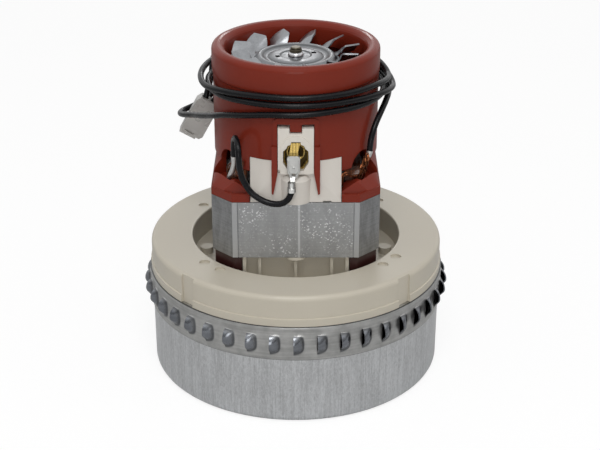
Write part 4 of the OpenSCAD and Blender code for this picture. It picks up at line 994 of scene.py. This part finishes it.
class MOTOR_OT_coil_wires(bpy.types.Operator):
    """Loose copper wires from the field coils to the sleeves"""

    bl_idname = "motor.coil_wires"
    bl_label = "Coil wires"

    def execute(self, context):
        draw = random.Random(5)
        wires = []
        for turn in (0, 180):
            for route in JUMPER_WIRES:
                wires += twisted(turned(route, turn), count=3, spread=0.7, turns=0.6, draw=draw)
        for side in (1, -1):
            wires += twisted(mirrored(SUPPLY_BUNDLE, side), count=8, spread=1.9, turns=0.9, draw=draw)
            wires += twisted(mirrored(SUPPLY_STRANDS, side), count=4, spread=0.8, turns=0.5, draw=draw)
        piece = new_curve("coil_wires", wires, context.scene.motor_sizes.strand, rounds=3)
        settle(piece, "wire_copper")
        return {"FINISHED"}


def fan_disc():
    """Points and faces of the pressed disc, with its rings and two slots."""
    line = [
        (SHAFT_HOLE, 1.4), (6.7, 1.4), (7.0, 1.46), (7.4, 1.72), (7.7, 1.8), (7.9, 1.8), (10.1, 1.8),
        (11.3, 1.74), (12.0, 1.56), (12.6, 1.2), (13.3, 0.96), (14.0, 0.98), (14.8, 1.24), (15.6, 1.74),
        (16.4, 2.1), (17.1, 2.2), (17.8, 2.06), (18.4, 1.6), (18.9, 0.95), (19.3, 0.35), (19.7, 0.04),
        (20.4, 0),
    ]
    half = FAN_SHEET / 2
    outline = [(r, FAN_Z + z + half) for r, z in line] + [(r, FAN_Z + z - half) for r, z in reversed(line)]
    sides, half_slot, count = 144, 3, len(outline)
    # The slots lie on the flat that starts here in the line, on the disc's upper and lower side
    slot_top = line.index((7.9, 1.8))
    slot_low = count - 2 - slot_top
    slots = set()
    for turn in (108, 288):
        slots |= {round(turn / 360 * sides) + k for k in range(-half_slot, half_slot + 1)}
    points, faces = lathe(outline, sides, lambda i, k: k in slots and i in (slot_top, slot_low))
    for k in slots:
        here, after = k * count, (k + 1) * count
        for top, low in ((slot_top, slot_low + 1), (slot_top + 1, slot_low)):
            faces.append((here + top, after + top, after + low, here + low))
        for ring, beyond in ((here, k - 1), (after, k + 1)):
            if beyond not in slots:
                faces.append(tuple(ring + i for i in (slot_top, slot_top + 1, slot_low, slot_low + 1)))
    return points, faces


def fan_blade(turn):
    """Points and faces of one blade: a tab of the disc, bent up and drawn out to a broad slanting plate."""
    root, tip, chord, pitch, hollow, thickness = 19.5, 30.6, 9.6, math.radians(35), 0.5, 0.76
    grid = []
    for i in range(15):
        u = i / 14
        radius = root + (tip - root) * u
        bend = eased(u / 0.34)
        back = chord * (-0.40 - 0.56 * eased(u / 0.42) - 0.03 * u)
        front = chord * (0.40 - 0.22 * eased(u / 0.36) - 0.26 * eased((u - 0.45) / 0.55))
        row = []
        for j in range(9):
            x = back + (front - back) * j / 8
            curl = hollow * math.sin(math.pi * j / 8) * bend
            across = x * math.cos(pitch * bend) + curl * math.sin(pitch)
            up = -x * math.sin(pitch * bend) + curl * math.cos(pitch)
            row.append(place((turn + math.degrees(across / radius), radius, FAN_Z + up)))
        grid.append(row)
    return sheet(grid, thickness * MM)


def clamp_nut():
    """Points and faces of the nut: a polished flared foot and a threaded neck."""
    foot = [(SHAFT_HOLE, 0), (3.6, 0), (3.75, 0.2), (3.7, 0.6), (3.45, 1.1), (3.2, 1.5), (3.0, 1.65)]
    outline = [(r, NUT_Z + z) for r, z in foot]
    z, r = NUT_Z + 1.75, 2.86
    thread, pitch, taper = 0.14, 0.46, 0.03
    while z < NUT_Z + 2.9:
        outline += [(r, z), (r + thread, z + 0.12), (r + thread, z + 0.24), (r, z + 0.36)]
        z, r = z + pitch, r - taper
    outline += [(r - 0.1, z), (SHAFT_HOLE, z - 0.1)]
    return lathe(outline, sides=48)


class MOTOR_OT_rotor(bpy.types.Operator):
    """Shaft, armature, commutator, bearings and cooling fan"""

    bl_idname = "motor.rotor"
    bl_label = "Rotor"

    def execute(self, context):
        dress("nut_steel", "rotor_shaft")
        dress("laminations", "armature_core")
        dress("coil_copper", "armature_winding")
        dress("wire_copper", "commutator")
        for bearing in ("upper_", "lower_"):
            dress("bearing_steel", bearing + "bearing_race", bearing + "inner_race", bearing + "ball_cage")
        blades, first = context.scene.motor_sizes.blades, 25.5
        shapes = [fan_disc()] + [fan_blade(360 * i / blades + first) for i in range(blades)]
        fan = new_mesh("pressed_fan", *joined(shapes), corner=35)
        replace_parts(settle(fan, "fan_aluminium", ROTOR), "cooling_fan")
        nut = new_mesh("clamp_nut", *clamp_nut(), corner=30)
        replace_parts(settle(nut, "nut_steel", ROTOR), "fan_nut")
        return {"FINISHED"}


def studio(strength):
    """Even light from a pale studio, which is white to the camera and darker low in front for gloss."""
    world = bpy.data.worlds.new("studio")
    world.use_nodes = True
    sky = Finish.on_tree(world.node_tree)
    world.node_tree.nodes.clear()
    x, y, z = sky.parts(sky.node("ShaderNodeTexCoord", output="Generated"))
    camera, glass, gloss = (
        sky.node("ShaderNodeLightPath", output=ray)
        for ray in ("Is Camera Ray", "Is Transmission Ray", "Is Glossy Ray")
    )
    front = sky.ramp(y * -1 - z * 0.6, 0.2, 0.9)
    sides = sky.ramp(x.math("ABSOLUTE") - z * 0.7 - y * 0.5, 0.25, 0.9)
    even = sky.grey(sky.ramp(z, -0.2, 0.8, 0.75, 1.2))
    mirrored_room = sky.grey(1 - front.math("MAXIMUM", sides) * 0.68)
    light = sky.node("ShaderNodeBackground", None, {0: even, 1: strength})
    mirror = sky.node("ShaderNodeBackground", None, {0: mirrored_room, 1: 1.0})
    white = sky.node("ShaderNodeBackground", None, {0: (1, 1, 1, 1), 1: 1.0})
    mixed = sky.node("ShaderNodeMixShader", None, {0: gloss, 1: light, 2: mirror})
    mixed = sky.node("ShaderNodeMixShader", None, {0: camera.math("MAXIMUM", glass), 1: mixed, 2: white})
    sky.node("ShaderNodeOutputWorld", None, {0: mixed}, output=None)
    return world


def floor_finish():
    """Pale floor that keeps the shadow and is white to the camera."""
    f = Finish("floor", (0.64, 0.64, 0.64), 0.9, 0.0, Specular_IOR_Level=0.1)
    out = next(n for n in f.tree.nodes if n.type == "OUTPUT_MATERIAL")
    seen = f.node("ShaderNodeLightPath", output="Is Camera Ray")
    glow = f.node("ShaderNodeEmission", None, {0: (1, 1, 1, 1), 1: 1.25})
    mixed = f.node("ShaderNodeMixShader", None, {0: seen * 0.65, 1: f.shader.outputs[0], 2: glow})
    f.tree.links.new(mixed.socket, out.inputs[0])
    return f


class MOTOR_OT_stage(bpy.types.Operator):
    """Floor, lamps and the even light"""

    bl_idname = "motor.stage"
    bl_label = "Stage"

    def execute(self, context):
        scene = context.scene
        view = scene.motor_view
        scene.view_settings.view_transform = "Standard"
        scene.world = studio(view.sky)

        reach = 6
        corners = [(-reach, -reach, 0), (reach, -reach, 0), (reach, reach, 0), (-reach, reach, 0)]
        floor = new_mesh("floor", corners, [(0, 1, 2, 3)], smooth_faces=False)
        floor.location.z = -0.2 * MM
        floor.data.materials.append(floor_finish().material)

        aim = Vector((0, 0, 0.08))
        for name, where, power, size in (
            ("key lamp", (0.0, -0.62, 1.05), view.key, 0.45),
            ("front lamp", (0.0, -1.3, 0.3), view.front, 0.5),
            ("left lamp", (-0.95, -0.35, 0.6), view.fill, 0.6),
            ("right lamp", (0.95, -0.25, 0.6), view.fill, 0.6),
            ("back lamp", (0.0, 1.0, 0.57), view.back_lamp, 0.09),
        ):
            data = bpy.data.lights.new(name, "AREA")
            data.energy, data.size = power, size
            lamp = bpy.data.objects.new(name, data)
            lamp.location = where
            lamp.rotation_euler = (aim - Vector(where)).to_track_quat("-Z", "Y").to_euler()
            scene.collection.objects.link(lamp)
        return {"FINISHED"}


OPERATORS = (
    MOTOR_OT_camera, MOTOR_OT_leads, MOTOR_OT_case, MOTOR_OT_cover, MOTOR_OT_stator, MOTOR_OT_housing,
    MOTOR_OT_brush_gear, MOTOR_OT_connector, MOTOR_OT_coil_wires, MOTOR_OT_rotor, MOTOR_OT_stage,
)


class MOTOR_PT_sidebar(bpy.types.Panel):
    """Sizes, colours and pieces of the motor"""

    bl_label = "Vacuum motor"
    bl_space_type = "VIEW_3D"
    bl_region_type = "UI"
    bl_category = "Motor"

    def draw(self, context):
        scene = context.scene
        for group in (scene.motor_sizes, scene.motor_view, scene.motor_colours):
            box = self.layout.box()
            for key in type(group).__annotations__:
                box.prop(group, key)
        for operator in OPERATORS:
            self.layout.operator(operator.bl_idname)


CLASSES = (MotorColours, MotorSizes, MotorView, *OPERATORS, MOTOR_PT_sidebar)


def register():
    for cls in CLASSES:
        bpy.utils.register_class(cls)
    bpy.types.Scene.motor_colours = bpy.props.PointerProperty(type=MotorColours)
    bpy.types.Scene.motor_sizes = bpy.props.PointerProperty(type=MotorSizes)
    bpy.types.Scene.motor_view = bpy.props.PointerProperty(type=MotorView)


def unregister():
    del bpy.types.Scene.motor_view
    del bpy.types.Scene.motor_sizes
    del bpy.types.Scene.motor_colours
    for cls in reversed(CLASSES):
        bpy.utils.unregister_class(cls)


def main():
    register()
    for operator in OPERATORS:
        group, name = operator.bl_idname.split(".")
        getattr(getattr(bpy.ops, group), name)()


if __name__ == "__main__":
    main()
